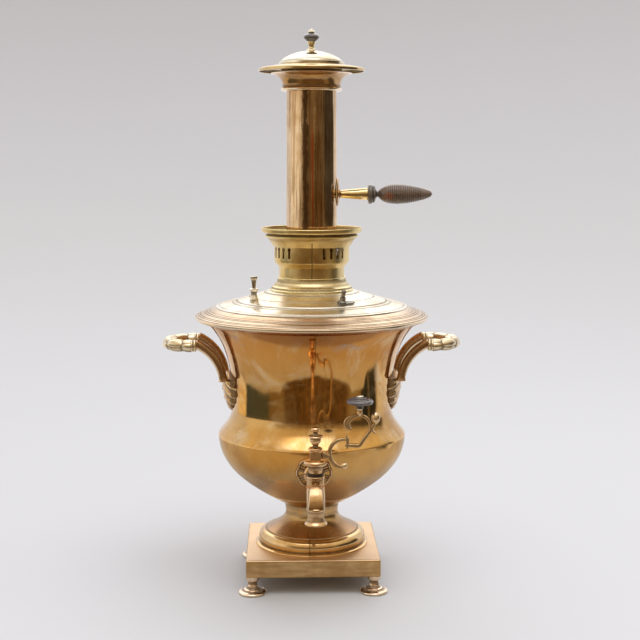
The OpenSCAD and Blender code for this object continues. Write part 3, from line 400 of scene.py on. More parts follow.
def square_ring(half, corner):
    """A rounded square of half width half: four corner arcs of radius corner, and points between them."""
    a = np.radians(np.linspace(0, 90, 7))
    quarter = (half - corner) + corner * np.stack([np.cos(a), np.sin(a)], 1)
    side = end_spaced(10, 0.03, 3)[1:-1, None]
    start = quarter[-1]
    quarter = np.concatenate([quarter, start + (start * [-1, 1] - start) * side])
    turn = np.array([[0, 1], [-1, 0]])
    return np.concatenate([quarter @ np.linalg.matrix_power(turn, i) for i in range(4)])


def square_loft(name, rows, node, material, centre=(0, 0), wrap=True):
    """Rings stacked on each other: each row (half width, corner radius, share of circle, z) is
    (1 - c) rounded square + c circle of radius half width."""
    rings = []
    for half, corner, roundness, z in rows:
        ring = square_ring(half, max(corner, 0.02)) if half > 0.05 else np.zeros((len(square_ring(9, 1)), 2))
        disc = unit(square_ring(50, 2)) * half
        flat = (1 - roundness) * ring + roundness * disc + np.asarray(centre)
        rings.append(np.concatenate([flat, np.full((len(flat), 1), z)], 1))
    return piece(name, skin(name, np.array(rings), wrap_rows=wrap), node, material)


def welded(name, node, material):
    """A copy of a node's triangles, merged and shaded smooth over edges flatter than SHARP_EDGE."""
    mesh = NODES[node].data.copy()
    mesh.name = name
    mesh.materials.clear()
    count = len(mesh.vertices)
    points = np.zeros(count * 3, np.float32)
    mesh.vertices.foreach_get("co", points)
    points = points.reshape(-1, 3).astype(float)
    keys = np.round(points / 2e-6).astype(np.int64)
    _, first, merged = np.unique(keys, axis=0, return_index=True, return_inverse=True)
    corner = np.zeros(len(mesh.loops), np.int32)
    mesh.loops.foreach_get("vertex_index", corner)
    faces = merged.reshape(-1)[corner].reshape(-1, 3)
    whole = (faces[:, 0] != faces[:, 1]) & (faces[:, 1] != faces[:, 2]) & (faces[:, 2] != faces[:, 0])
    bpy.data.meshes.remove(mesh)
    made = face_mesh(name, points[first], np.zeros((0, 4), int), faces[whole], None)
    made.set_sharp_from_angle(angle=SHARP_EDGE)
    return piece(name, made, node, material)


# ---------------------------------------------------------------- shader values

class Value:
    """A shader socket. Python's operators on it add Math nodes."""

    def __init__(self, shader, socket):
        self.shader, self.socket = shader, socket

    def maths(self, operation, *others, clamp=False):
        return self.shader.node("Math", {"operation": operation, "use_clamp": clamp},
                                dict(enumerate((self, *others))))

    def __add__(self, other): return self.maths("ADD", other)
    __radd__ = __add__
    def __sub__(self, other): return self.maths("SUBTRACT", other)
    def __rsub__(self, other): return (self * -1).maths("ADD", other)
    def __mul__(self, other): return self.maths("MULTIPLY", other)
    __rmul__ = __mul__
    def __truediv__(self, other): return self.maths("DIVIDE", other)
    def __pow__(self, other): return self.maths("POWER", other)
    def __gt__(self, other): return self.maths("GREATER_THAN", other)
    def __lt__(self, other): return self.maths("LESS_THAN", other)
    def __abs__(self): return self.maths("ABSOLUTE")
    def clamped(self): return self.maths("ADD", 0.0, clamp=True)

    def smooth(self, start, end, a=0.0, b=1.0):
        """a up to start, b from end on, and 3 t^2 - 2 t^3 of the way between."""
        return self.shader.node("MapRange", {"interpolation_type": "SMOOTHSTEP"},
                                {0: self, 1: start, 2: end, 3: a, 4: b})


class Shader:
    """The node tree of one material or world."""

    def __init__(self, tree):
        self.tree = tree
        tree.nodes.clear()

    def node(self, kind, settings=None, sockets=None, out=0):
        node = self.tree.nodes.new("ShaderNode" + kind)
        for key, value in (settings or {}).items():
            if key == "stops":
                while len(node.color_ramp.elements) < len(value):
                    node.color_ramp.elements.new(0.5)
                for element, (at, colour) in zip(node.color_ramp.elements, value):
                    element.position, element.color = at, (*colour, 1)
            else:
                setattr(node, key, value)
        for key, value in (sockets or {}).items():
            if isinstance(value, Value):
                self.tree.links.new(value.socket, node.inputs[key])
            else:
                socket = node.inputs[key]
                wide = socket.type == "RGBA" and len(value) == 3
                socket.default_value = (*value, 1) if wide else value
        return Value(self, node.outputs[out]) if len(node.outputs) else None

    def place(self):
        """The point in the row frame, in millimetres."""
        point = self.node("TexCoord", out=3)
        return self.node("VectorMath", {"operation": "SCALE"}, {0: point, 3: 1 / MM})

    def parts(self, vector):
        """A vector's x, y and z."""
        split = self.node("SeparateXYZ", None, {0: vector}).socket.node
        return [Value(self, socket) for socket in split.outputs]

    def scaled(self, vector, x, y, z):
        """A vector whose parts are multiplied, so that what is made from it is stretched by the inverse."""
        return self.node("VectorMath", {"operation": "MULTIPLY"}, {0: vector, 1: (x, y, z)})

    def noise(self, vector, size, detail=3.0, rough=0.55, bend=0.0):
        """Cloudy noise from 0 to 1, with patches about size millimetres across."""
        return self.node("TexNoise", None, {"Vector": vector, "Scale": 1 / size, "Detail": detail,
                                            "Roughness": rough, "Distortion": bend})

    def cells(self, vector, size):
        """Distance to the nearest of scattered points about size millimetres apart."""
        return self.node("TexVoronoi", {"feature": "F1"}, {"Vector": vector, "Scale": 1 / size})

    def mix(self, share, a, b):
        return self.node("Mix", {"data_type": "RGBA"}, {0: share, 6: a, 7: b}, out=2)

    def hollow(self):
        """How deep the surface lies below its neighbours: above 0 in grooves, below 0 on ridges. On the
        rosette, the elbow, the leaves, the bends, the arms and the branch it also carries painted shade (above
        0) and painted highlight (below 0).
        """
        return self.node("Attribute", {"attribute_type": "GEOMETRY", "attribute_name": "hollow"}, out=2)

    def bump(self, height, distance, under=None):
        sockets = {"Height": height, "Distance": distance * MM, "Strength": 1.0}
        if under is not None:
            sockets["Normal"] = under
        return self.node("Bump", None, sockets)

    def surface(self, **sockets):
        """The one Principled shader of a material; a name's underscores stand for spaces."""
        body = self.node("BsdfPrincipled", None, {k.replace("_", " "): v for k, v in sockets.items()})
        self.node("OutputMaterial", None, {"Surface": body})


def material(name):
    made = bpy.data.materials.new(name)
    made.use_nodes = True
    return made, Shader(made.node_tree)


def colours():
    return bpy.context.scene.samovar_colours


def sizes():
    return bpy.context.scene.samovar_sizes


# ---------------------------------------------------------------- finishes

def brass(name, tone, shine=0.12, haze=0.16, cloud=34.0, patina=0.3, dirt_and_shade_amount=1.0, wavy=0.05, cast=0.0,
          rings=0.0, spots=0.25, wear_and_highlight_tone=None, extra=None):
    """Old brass. The tone and a darker one mix in clouds; patina dulls patches; the hollows darken with dirt,
    and with painted shade on pieces whose hollow values are painted lines; the ridges take a lighter tone that
    is partly wear and partly painted highlight; rings are fine turning marks; cast is a sand-cast grain; spots
    are small pits and stains. extra may change the colour and the roughness before they reach the shader."""
    made, sh = material(name)
    at = sh.place()
    x, y, z = sh.parts(at)
    dark = tuple(c * f for c, f in zip(tone, (0.72, 0.62, 0.5)))
    clouds = sh.noise(at, cloud, 4.0, 0.6, 0.4)
    colour = sh.mix(clouds.smooth(0.35, 0.72), tuple(tone), dark)
    dull = sh.noise(at, cloud * 0.55, 5.0, 0.65, 1.2).smooth(0.56, 0.78) * patina
    colour = sh.mix(dull, colour, tuple(colours().tarnish))
    pits = (1 - sh.cells(at, 5.5).smooth(0.05, 0.2)) * sh.noise(at, 21, 2.0).smooth(0.5, 0.7) * spots
    colour = sh.mix(pits, colour, tuple(colours().patina))
    hollow = sh.hollow()
    # Dirt in the hollows, and painted shade where a piece's hollow values are painted lines.
    dirt_and_shade = (hollow * (9.0 * dirt_and_shade_amount)).clamped() * (0.55 + 0.45 * sh.noise(at, 3.2, 3.0))
    # A lighter tone on the ridges: partly wear, partly painted highlight.
    wear_and_highlight = (hollow * -5.0).clamped()
    colour = sh.mix(dirt_and_shade * 0.82, colour, tuple(colours().patina))
    bright = wear_and_highlight_tone or tuple(min(c * 1.25 + 0.03, 1) for c in tone)
    colour = sh.mix(wear_and_highlight * (0.9 if wear_and_highlight_tone else 0.4), colour, bright)
    smear = sh.noise(sh.scaled(at, 1, 1, 0.35), 13, 5.0, 0.7, 0.8)
    rough = shine + haze * smear.smooth(0.4, 0.85) + 0.2 * dull + 0.3 * dirt_and_shade + 0.25 * pits
    ripple = 46
    normal = sh.bump(sh.noise(at, ripple, 1.0, 0.3), wavy * ripple)
    if rings:
        out = ((x * x + y * y) ** 0.5 + z * 0.8) * 3.4
        normal = sh.bump(sh.node("TexNoise", {"noise_dimensions": "1D"},
                                 {"W": out, "Scale": 1.0, "Detail": 3.0}), 0.02 * rings, under=normal)
    if cast:
        normal = sh.bump(sh.noise(at, 1.6, 4.0, 0.6), 0.16 * cast, under=normal)
    if extra:
        colour, rough = extra(sh, at, colour, rough)
    sh.surface(Base_Color=colour, Metallic=1 - 0.6 * dirt_and_shade, Roughness=rough, Normal=normal)
    return made


def seam_line(sh, at, offset, width=0.6):
    """A soldered joint down the front: the plane x = offset, on the side that faces -Y."""
    x, y, _ = sh.parts(at)
    waver = sh.noise(at, 9, 2.0) - 0.5
    return (1 - abs(x - offset + 0.9 * waver).smooth(0.0, width * 2)) * (y < 0.0)


def wall_finish():
    """The urn's wall: warmer near the rim, with cloudy haze, a brown lens and grey tarnish under the rim, and
    a soldered seam with a drip."""
    def extra(sh, at, colour, rough):
        x, y, z = sh.parts(at)
        warm = z.smooth(SHOULDER_Z + 60, RIM_Z - 14)
        colour = sh.mix(warm * 0.75, colour, tuple(colours().warm_brass))
        haze = sh.noise(at, 44, 6.0, 0.62, 1.4).smooth(0.48, 0.64)
        colour = sh.mix(haze * 0.5, colour, (0.80, 0.60, 0.36))
        off_centre = abs(x) + 34 * (1 - z.smooth(RIM_Z - 14, RIM_Z - 3))
        lens = z.smooth(RIM_Z - 17, RIM_Z - 9) * off_centre.smooth(56, 74, 1, 0)
        colour = sh.mix(lens * 0.7, colour, (0.36, 0.14, 0.045))
        band = z.smooth(RIM_Z - 34, RIM_Z - 10) * (1 - z.smooth(RIM_Z - 8, RIM_Z))
        patch = sh.noise(sh.scaled(at, 1, 1, 1.9), 30, 4.0, 0.55, 0.5).smooth(0.53, 0.66)
        patch = patch * band * abs(x).smooth(14, 30)
        colour = sh.mix(patch * 0.55, colour, (0.40, 0.38, 0.36))
        seam = seam_line(sh, at, 1.5, 0.3) * z.smooth(RIM_Z - 46, RIM_Z - 24)
        drip = (1 - abs(x - 1.5).smooth(0.6, 2.4)) * (y < 0.0) * z.smooth(SHOULDER_Z + 26, SHOULDER_Z + 70)
        drip = drip * sh.noise(sh.scaled(at, 1, 1, 0.14), 2.6, 4.0).smooth(0.45, 0.7)
        colour = sh.mix(drip * 0.5, colour, (0.30, 0.13, 0.03))
        colour = sh.mix(seam * 0.8, colour, (0.16, 0.07, 0.02))
        return colour, rough + 0.2 * patch + 0.1 * seam + 0.1 * haze
    return brass("wall_brass", colours().brass, shine=0.045, haze=0.08, patina=0.22, wavy=0.02, rings=0.15,
                 cloud=42, spots=0.12, extra=extra)


def bowl_finish():
    """The bowl: clouded, with a painted warm reflection at the left under the shoulder, and duller and browner
    towards its foot.
    """
    def extra(sh, at, colour, rough):
        x, _, z = sh.parts(at)
        under = z.smooth(BOWL_Z + 26, BOWL_Z + 60, 1, 0)
        clouds = sh.noise(at, 24, 3.0, 0.5, 0.8).smooth(0.45, 0.7)
        colour = sh.mix(clouds * 0.3, colour, (0.56, 0.40, 0.22))
        # A painted reflection: warm orange under the shoulder on the left.
        warm = z.smooth(SHOULDER_Z - 30, SHOULDER_Z - 4) * x.smooth(-20, 30, 1, 0) * x.smooth(-84, -60)
        colour = sh.mix(warm * 0.6, colour, (0.78, 0.36, 0.06))
        colour = sh.mix(under * 0.7, colour, (0.42, 0.31, 0.21))
        return colour, rough + 0.3 * under
    return brass("bowl_brass", colours().brass, shine=0.11, haze=0.12, patina=0.3, wavy=0.03, rings=0.3,
                 cloud=40, spots=0.3, extra=extra)


def chimney_finish():
    """The pipe: long upright scratches and streaks of heat tint, a ragged dark band of painted reflection, a
    line of rust-red and a broken painted glint."""
    def extra(sh, at, colour, rough):
        x, y, z = sh.parts(at)
        upright = sh.scaled(at, 1, 1, 0.022)
        fine = sh.noise(upright, 1.1, 3.0, 0.6)
        streak = sh.noise(sh.scaled(at, 1, 1, 0.035), 4.4, 5.0, 0.6, 0.3)
        broad = sh.noise(sh.scaled(at, 1, 1, 0.05), 15, 3.0, 0.5)
        colour = sh.mix(fine.smooth(0.53, 0.61) * 0.8, colour, (0.32, 0.18, 0.08))
        colour = sh.mix(streak.smooth(0.5, 0.64) * 0.5, colour, (0.36, 0.19, 0.09))
        colour = sh.mix(broad.smooth(0.5, 0.75) * 0.3, colour, (0.52, 0.34, 0.14))
        front = y < 0.0
        spots = sh.noise(sh.scaled(at, 1, 1, 0.3), 3.0, 5.0, 0.75, 0.6)
        # A painted dark reflection: a ragged dark band down the front.
        run = (1 - abs(x + 7.2 + 13 * (spots - 0.5)).smooth(1.8, 3.2)) * front
        colour = sh.mix(run * 0.85, colour, (0.10, 0.05, 0.02))
        rusty = (1 - abs(x - 0.4 + 3 * (streak - 0.5)).smooth(0.3, 1.3)) * front
        rusty = rusty * z.smooth(FLOOR_Z, FLOOR_Z + 20) * (1 - z.smooth(COLLAR_Z - 70, COLLAR_Z - 50))
        colour = sh.mix(rusty * 0.9, colour, (0.85, 0.20, 0.08))
        # A painted highlight: a broken bright line down the front.
        painted_glint = (1 - abs(x - 2.6 + 3 * (streak - 0.5)).smooth(0.2, 0.7)) * front * spots.smooth(0.5, 0.6)
        colour = sh.mix(painted_glint * 0.8, colour, (1.0, 0.80, 0.55))
        return colour, rough + 0.1 * streak.smooth(0.5, 0.8) + 0.2 * run
    return brass("chimney_brass", colours().chimney_brass, shine=0.08, haze=0.08, patina=0.15, wavy=0.02,
                 spots=0.3, rings=0.1, extra=extra)


def crown_finish():
    """The crown: satin, with a soldered seam down the band."""
    def extra(sh, at, colour, rough):
        z = sh.parts(at)[2]
        seam = seam_line(sh, at, -0.5) * (1 - z.smooth(BAND_Z + 4, BAND_Z + 6))
        return sh.mix(seam * 0.85, colour, (0.12, 0.08, 0.03)), rough + 0.2 * seam
    return brass("crown_brass", colours().olive_brass, shine=0.3, haze=0.14, patina=0.35, spots=0.3,
                 rings=0.4, extra=extra)


def pedestal_finish():
    """The pedestal: brown on the skirt above the torus, with a soldered seam down the torus."""
    def extra(sh, at, colour, rough):
        z = sh.parts(at)[2]
        seam = seam_line(sh, at, -3.5) * (1 - z.smooth(PLINTH_Z + 16, PLINTH_Z + 18))
        skirt = z.smooth(PLINTH_Z + 15.4, PLINTH_Z + 16.4) * (1 - z.smooth(PLINTH_Z + 24, PLINTH_Z + 34))
        colour = sh.mix(skirt * 0.8, colour, (0.36, 0.20, 0.10))
        rough = rough + 0.16 * skirt
        return sh.mix(seam * 0.85, colour, (0.16, 0.09, 0.03)), rough + 0.2 * seam
    return brass("pedestal_brass", colours().mellow_brass, shine=0.1, haze=0.12, patina=0.3, rings=0.5,
                 extra=extra)


def plinth_finish():
    """The plinth: rosier and duller on top, with level brown runs and grey scuffs on its sides."""
    def extra(sh, at, colour, rough):
        z = sh.parts(at)[2]
        lying = z.smooth(PLINTH_Z - 1.6, PLINTH_Z - 0.4)
        colour = sh.mix(lying * 0.8, colour, (0.76, 0.56, 0.38))
        run = sh.noise(sh.scaled(at, 0.12, 0.12, 1), 4.5, 5.0, 0.6, 0.4)
        colour = sh.mix((1 - lying) * run.smooth(0.45, 0.62) * 0.55, colour, (0.40, 0.24, 0.10))
        scuff = sh.noise(at, 6.5, 5.0, 0.7, 1.5).smooth(0.66, 0.74) * (1 - lying)
        colour = sh.mix(scuff * 0.5, colour, (0.55, 0.50, 0.44))
        return colour, rough + 0.24 * lying + 0.2 * scuff
    return brass("plinth_brass", colours().satin_brass, shine=0.2, haze=0.08, patina=0.2, spots=0.2,
                 wavy=0.03, extra=extra)


def steel(name, tone, shine=0.34, rust=0.3):
    """Plain steel or iron: grey clouds, with brown rust in patches and pits."""
    made, sh = material(name)
    at = sh.place()
    colour = sh.mix(sh.noise(at, 6, 4.0), tuple(tone), tuple(c * 0.6 for c in tone))
    rusty = sh.noise(at, 4.4, 5.0, 0.65, 0.8).smooth(0.5, 0.68) * rust
    colour = sh.mix(rusty, colour, (0.20, 0.09, 0.04))
    colour = sh.mix((sh.hollow() * 8.0).clamped() * 0.7, colour, (0.05, 0.035, 0.025))
    normal = sh.bump(sh.noise(at, 1.1, 4.0), 0.12)
    sh.surface(Base_Color=colour, Metallic=1 - 0.7 * rusty, Roughness=shine + 0.3 * rusty, Normal=normal)
    return made


def turned_wood(name, tone, wear_and_highlight, along, shine=0.34, coat=0.6, ridges=0.45, red=False):
    """Dark turned wood: grain stretched along one axis, a lighter tone on ridges that is partly wear and
    partly painted highlight, and a waxed gloss. With red, the grip has a red patch of wear near its root."""
    made, sh = material(name)
    at = sh.place()
    stretch = [0.12 if i == along else 1.0 for i in range(3)]
    grain = sh.noise(sh.scaled(at, *stretch), 1.5, 5.0, 0.62, 0.3)
    colour = sh.mix(grain.smooth(0.35, 0.75), tuple(tone), tuple(c * 0.5 for c in tone))
    rubbed = sh.noise(at, 9, 4.0, 0.6).smooth(0.5, 0.75) * 0.3
    # Ridges take the lighter tone: partly wear, partly painted highlight.
    ridge = (sh.hollow() * -7.0).clamped()
    colour = sh.mix((rubbed * 0.6 + ridges * ridge).clamped() * 0.6, colour, tuple(wear_and_highlight))
    if red:
        x, _, z = sh.parts(at)
        off = ((x - low("handle_grip", 0) - 11) / 7) ** 2 + ((z - GRIP_LEVEL + 4) / 7) ** 2
        near = off.smooth(0.3, 1.0, 1, 0)
        colour = sh.mix(near * sh.noise(at, 4, 4.0, 0.7).smooth(0.42, 0.6) * 0.8, colour, (0.42, 0.12, 0.055))
    colour = sh.mix((sh.hollow() * 9.0).clamped() * 0.85, colour, (0.008, 0.006, 0.006))
    normal = sh.bump(grain, 0.1)
    sh.surface(Base_Color=colour, Roughness=shine + 0.22 * rubbed + 0.1 * grain, Normal=normal,
               Coat_Weight=coat - 0.35 * rubbed.clamped(), Coat_Roughness=0.12)
    return made


# Each finish: what makes it, its material's name, its tone among the settings, and the rest.
# The lighter ridge tone given to some finishes below is partly wear and partly painted highlight, and a
# finish's amount of dirt also sets how dark its painted shade lines are.
FINISHES = {
    "rim": (brass, "rim_brass", "rosy_brass", dict(
        shine=0.22, haze=0.05, patina=0.12, rings=0.2, dirt_and_shade_amount=1.6, wavy=0.02, wear_and_highlight_tone=(0.90, 0.74, 0.56))),
    "collar": (brass, "collar_brass", "collar_brass", dict(
        shine=0.07, haze=0.08, patina=0.25, rings=0.4, dirt_and_shade_amount=1.6, wear_and_highlight_tone=(1.0, 0.84, 0.66))),
    "brim": (brass, "brim_brass", "cap_gold", dict(
        shine=0.11, haze=0.1, patina=0.3, rings=0.8, spots=0.3, dirt_and_shade_amount=1.8)),
    "lid": (brass, "lid_brass", "pale_brass", dict(
        shine=0.3, haze=0.03, patina=0.08, rings=0.3, spots=0.12, dirt_and_shade_amount=1.5, wavy=0.015)),
    "neck": (brass, "neck_brass", "neck_brass", dict(
        shine=0.24, haze=0.12, patina=0.25, rings=1.2, dirt_and_shade_amount=1.2)),
    "leaf": (brass, "leaf_brass", "leaf_brass", dict(
        shine=0.27, haze=0.12, patina=0.25, cast=0.6, cloud=12, dirt_and_shade_amount=1.6)),
    "nickel": (brass, "nickel_brass", "nickel", dict(shine=0.2, patina=0.3, cloud=8)),
    "cap": (brass, "cap_brass", "cream_brass", dict(shine=0.14, haze=0.14, patina=0.2, rings=0.6, spots=0.3)),
    "tap": (brass, "tap_brass", "tap_brass", dict(
        shine=0.15, haze=0.1, patina=0.25, cast=0.25, cloud=18, dirt_and_shade_amount=1.5)),
    "tongue": (brass, "tongue_brass", "tap_brass", dict(
        shine=0.2, haze=0.1, patina=0.2, cast=0.4, cloud=14, dirt_and_shade_amount=1.4, wear_and_highlight_tone=(0.95, 0.86, 0.70))),
    "satin": (brass, "satin_tap_brass", "tap_brass", dict(
        shine=0.34, haze=0.1, patina=0.3, cast=0.6, cloud=10)),
    "neck_stem": (brass, "finial_brass", "finial_gold", dict(
        shine=0.2, haze=0.1, patina=0.2, cloud=10, dirt_and_shade_amount=0.0, wear_and_highlight_tone=(1.0, 0.94, 0.80))),
    "petal": (brass, "petal_brass", "brass", dict(
        shine=0.16, haze=0.1, patina=0.15, cast=0.2, cloud=18, dirt_and_shade_amount=2.2, wear_and_highlight_tone=(1.0, 0.94, 0.84))),
    "branch": (brass, "branch_brass", "branch_brass", dict(
        shine=0.27, haze=0.1, patina=0.2, cast=0.3, cloud=12, dirt_and_shade_amount=1.2, wear_and_highlight_tone=(0.96, 0.80, 0.58))),
    "arm": (brass, "arm_brass", "arm_brass", dict(
        shine=0.2, haze=0.12, patina=0.5, cast=0.2, cloud=22, dirt_and_shade_amount=1.6, wear_and_highlight_tone=(0.95, 0.80, 0.58))),
    "stem": (brass, "stem_brass", "stem_gold", dict(shine=0.12, haze=0.1, patina=0.2, cloud=14)),
    "acanthus": (brass, "acanthus_brass", "leaf_gold", dict(
        shine=0.2, haze=0.1, patina=0.2, cast=0.4, cloud=14, dirt_and_shade_amount=1.5, wear_and_highlight_tone=(1.0, 0.92, 0.76))),
    "foot": (brass, "foot_brass", "foot_brass", dict(
        shine=0.1, haze=0.12, patina=0.45, cast=0.3, cloud=12, dirt_and_shade_amount=2.6, wear_and_highlight_tone=(1.0, 0.86, 0.70))),
    "inside": (brass, "inside_brass", "hidden_brass", dict(shine=0.36, haze=0.16, patina=0.6, cloud=20)),
    "steel": (steel, "dull_steel", "steel", dict()),
    "soot": (steel, "sooty_steel", "soot", dict(shine=0.55, rust=0.5)),
    "iron": (steel, "grate_iron", "iron", dict(shine=0.65, rust=0.6)),
    "washer": (steel, "dark_washer", "washer", dict(shine=0.4, rust=0.4)),
    "black": (turned_wood, "black_wood", "black_wood", dict(
        wear_and_highlight=(0.40, 0.37, 0.41), along=2, shine=0.2, coat=0.9, ridges=0.5)),
    "dark": (turned_wood, "dark_wood", "dark_wood", dict(
        wear_and_highlight=(0.48, 0.42, 0.38), along=0, shine=0.22, coat=0.9)),
    "brown": (turned_wood, "brown_wood", "brown_wood", dict(
        wear_and_highlight=(0.30, 0.17, 0.12), along=0, shine=0.26, red=True)),
}
OWN_FINISHES = {"wall": wall_finish, "bowl": bowl_finish, "chimney": chimney_finish, "crown": crown_finish,
                "pedestal": pedestal_finish, "plinth": plinth_finish}


@functools.lru_cache(maxsize=None)
def finish(name):
    """Each finish is made once, when the first piece asks for it."""
    if name in OWN_FINISHES:
        return OWN_FINISHES[name]()
    make, called, tone, settings = FINISHES[name]
    return make(called, tuple(getattr(colours(), tone)), **settings)


# ---------------------------------------------------------------- the urn

def bowl_curve(n=60):
    """The bowl's outer face, from its foot to the shoulder."""
    return bezier([SHOULDER_R - 0.2, SHOULDER_Z], [SHOULDER_R - 2.0, BOWL_Z + 0.66 * BOWL_H],
                  [0.872 * SHOULDER_R, BOWL_Z + 0.421 * BOWL_H], [30.2, BOWL_Z + 0.4], n)[::-1]


def wall_curve():
    """The upper wall's outer face: shoulder, waist and flare."""
    return joined(
        bezier([SHOULDER_R - 0.2, SHOULDER_Z], [SHOULDER_R - 2.0, SHOULDER_Z + 0.045 * WALL_H],
               [WAIST_R, SHOULDER_Z + 0.125 * WALL_H], [WAIST_R, SHOULDER_Z + 0.242 * WALL_H], 44)[:-1],
        bezier([WAIST_R, SHOULDER_Z + 0.242 * WALL_H], [WAIST_R, SHOULDER_Z + 0.27 * WALL_H],
               [WAIST_R, SHOULDER_Z + 0.31 * WALL_H], [WAIST_R, SHOULDER_Z + 0.339 * WALL_H], 6)[:-1],
        bezier([WAIST_R, SHOULDER_Z + 0.339 * WALL_H], [WAIST_R, SHOULDER_Z + 0.556 * WALL_H],
               [WAIST_R + 4.7, SHOULDER_Z + 0.806 * WALL_H], [RIM_R - 17, RIM_Z - 4], 50),
        [[RIM_R - 13.5, RIM_Z], [RIM_R - 7.55, RIM_Z + 2]])


def wall_radius(z):
    path = wall_curve()
    return np.interp(z, path[:, 1], path[:, 0])


def bowl_radius(z):
    path = bowl_curve(200)
    return np.interp(z, path[:, 1], path[:, 0])


def shell(path):
    """A closed profile of sheet, on the left of its outer face."""
    return joined(path, inset(path, SHEET)[::-1])


def build_base():
    """Plinth with its rounded edges, and the four turned feet."""
    half, foot_h = high("plinth", 0), low("plinth")
    edge = 2.2
    bend = arc([0, PLINTH_Z - edge], edge, 0, 90, 5)
    outer = [(half - edge + r, max(r, 0.4), 0, z) for r, z in bend]
    start = [(half, edge, 0, foot_h + 0.5), (half, edge, 0, foot_h + 1.4),
             (half, edge, 0, PLINTH_Z - edge - 1)]
    top = [(half - edge - 1, 0.4, 0, PLINTH_Z), (66, 0.4, 0.1, PLINTH_Z), (58, 2, 0.8, PLINTH_Z),
           (44, 2, 1, PLINTH_Z)]
    inner = half - SHEET
    under = [(44, 2, 1, PLINTH_Z - SHEET), (58, 2, 0.7, PLINTH_Z - SHEET),
             (inner - 1, 1, 0, PLINTH_Z - SHEET), (inner, 1, 0, PLINTH_Z - SHEET - 1),
             (inner, 1, 0, foot_h + 0.6), (inner + 0.3, 1, 0, foot_h), (half - 0.3, edge, 0, foot_h)]
    square_loft("plinth_shell", start + outer + top + under, "plinth", finish("plinth"))
    k = low("plinth")
    r = (high("foot_front_right", 0) - low("foot_front_right", 0)) / 2
    profile = [(0, 0), (r - 1.8, 0), (r - 0.6, 0.03 * k), (r, 0.08 * k), (r - 0.4, 0.135 * k),
               (r - 1.3, 0.17 * k), (0.63 * r, 0.225 * k), (0.6 * r, 0.29 * k), (0.42 * r, 0.32 * k),
               (0.37 * r, 0.37 * k), (0.37 * r, 0.47 * k), (0.3 * r, 0.62 * k), (0.33 * r, 0.71 * k),
               (6.5, 0.76 * k), (7, 0.8 * k), (7, k), (2.4, k), (2.4, k + 6), (0, k + 6)]
    for node in ("foot_front_left", "foot_front_right", "foot_rear_left", "foot_rear_right"):
        turned(node + "_turned", profile, node, finish("foot"), (middle(node, 0), middle(node, 1), 0),
               steps=64, edge=0.5)


def build_body():
    """Pedestal, bowl, wall and rim ring."""
    torus = arc([high("pedestal", 0) - 12, PLINTH_Z + 7.6], 8.4, -35, 82, 22)
    lip = torus[-1]
    k = (BOWL_Z - PLINTH_Z) / 45.5
    curve = bezier([lip[0] - 1.6, lip[1] + 1.2], [lip[0] - 13, lip[1] + 6],
                   [PEDESTAL_NECK_R, lip[1] + 13 * k], [PEDESTAL_NECK_R, PLINTH_Z + 36 * k], 30)
    r = high("pedestal", 0)
    low_bowl = bowl_curve()
    low_bowl = low_bowl[low_bowl[:, 0] < FLARE_R]
    foot = joined([[27.2, BOWL_Z], [29.6, BOWL_Z]], low_bowl)
    inner = inset(joined(torus, curve), SHEET)[::-1]
    neck_r = PEDESTAL_NECK_R
    pedestal = joined([[r, PLINTH_Z], [r, PLINTH_Z + 1.3], [r - 1.6, PLINTH_Z + 2.2]], torus,
                      [[lip[0] - 0.9, lip[1] + 0.1]], curve,
                      [[neck_r + 0.6, BOWL_Z - 5.5], [neck_r + 1, BOWL_Z - 0.6]], low_bowl,
                      inset(foot, SHEET)[::-1], [[26.8, BOWL_Z + SHEET], [26.8, inner[0][1]]], inner,
                      [[inner[-1][0], PLINTH_Z]])
    turned("pedestal_spun", pedestal, "pedestal", finish("pedestal"), steps=160, edge=0.4, wobble=0.03)
    whole = bowl_curve()
    upper = whole[whole[:, 0] > FLARE_R + 2]
    lower = inset(joined([[27.2, BOWL_Z], [29.6, BOWL_Z]], whole[whole[:, 0] < FLARE_R]), SHEET + SEAT)
    turned("bowl_spun", shell(joined(lower, upper)), "bowl", finish("bowl"), steps=192, edge=0.4, width=2.4,
           wobble=0.05)
    turned("wall_spun", shell(wall_curve()), "body_wall", finish("wall"), steps=224, edge=0.5, width=2.4,
           wobble=0.04)
    up = (LID_Z - RIM_Z) / 16.9
    ring = rounded([[RIM_R - 7.4, RIM_Z + 2], [RIM_R - 0.7, RIM_Z + 4.5 * up], [RIM_R, RIM_Z + 7.2 * up],
                    [RIM_R - 2.5, RIM_Z + 9 * up], [RIM_R - 6.4, RIM_Z + 10.5 * up],
                    [RIM_R - 10.4, RIM_Z + 11.9 * up], [RIM_R - 11.3, RIM_Z + 12.4 * up],
                    [RIM_R - 16.6, RIM_Z + 14.2 * up], [RIM_R - 17.6, RIM_Z + 14.8 * up],
                    [RIM_R - 22.3, LID_Z], [96.5, LID_Z]], 0.9)
    cut = chased(ring, [11.0, 14.2, 16.6, 22.0, 24.4], sizes().rim_groove / MM, 0.55)
    turned("rim_ring_spun", joined(cut, inset(ring, SHEET)[::-1]), "rim_ring", finish("rim"), steps=192,
           edge=0.3)


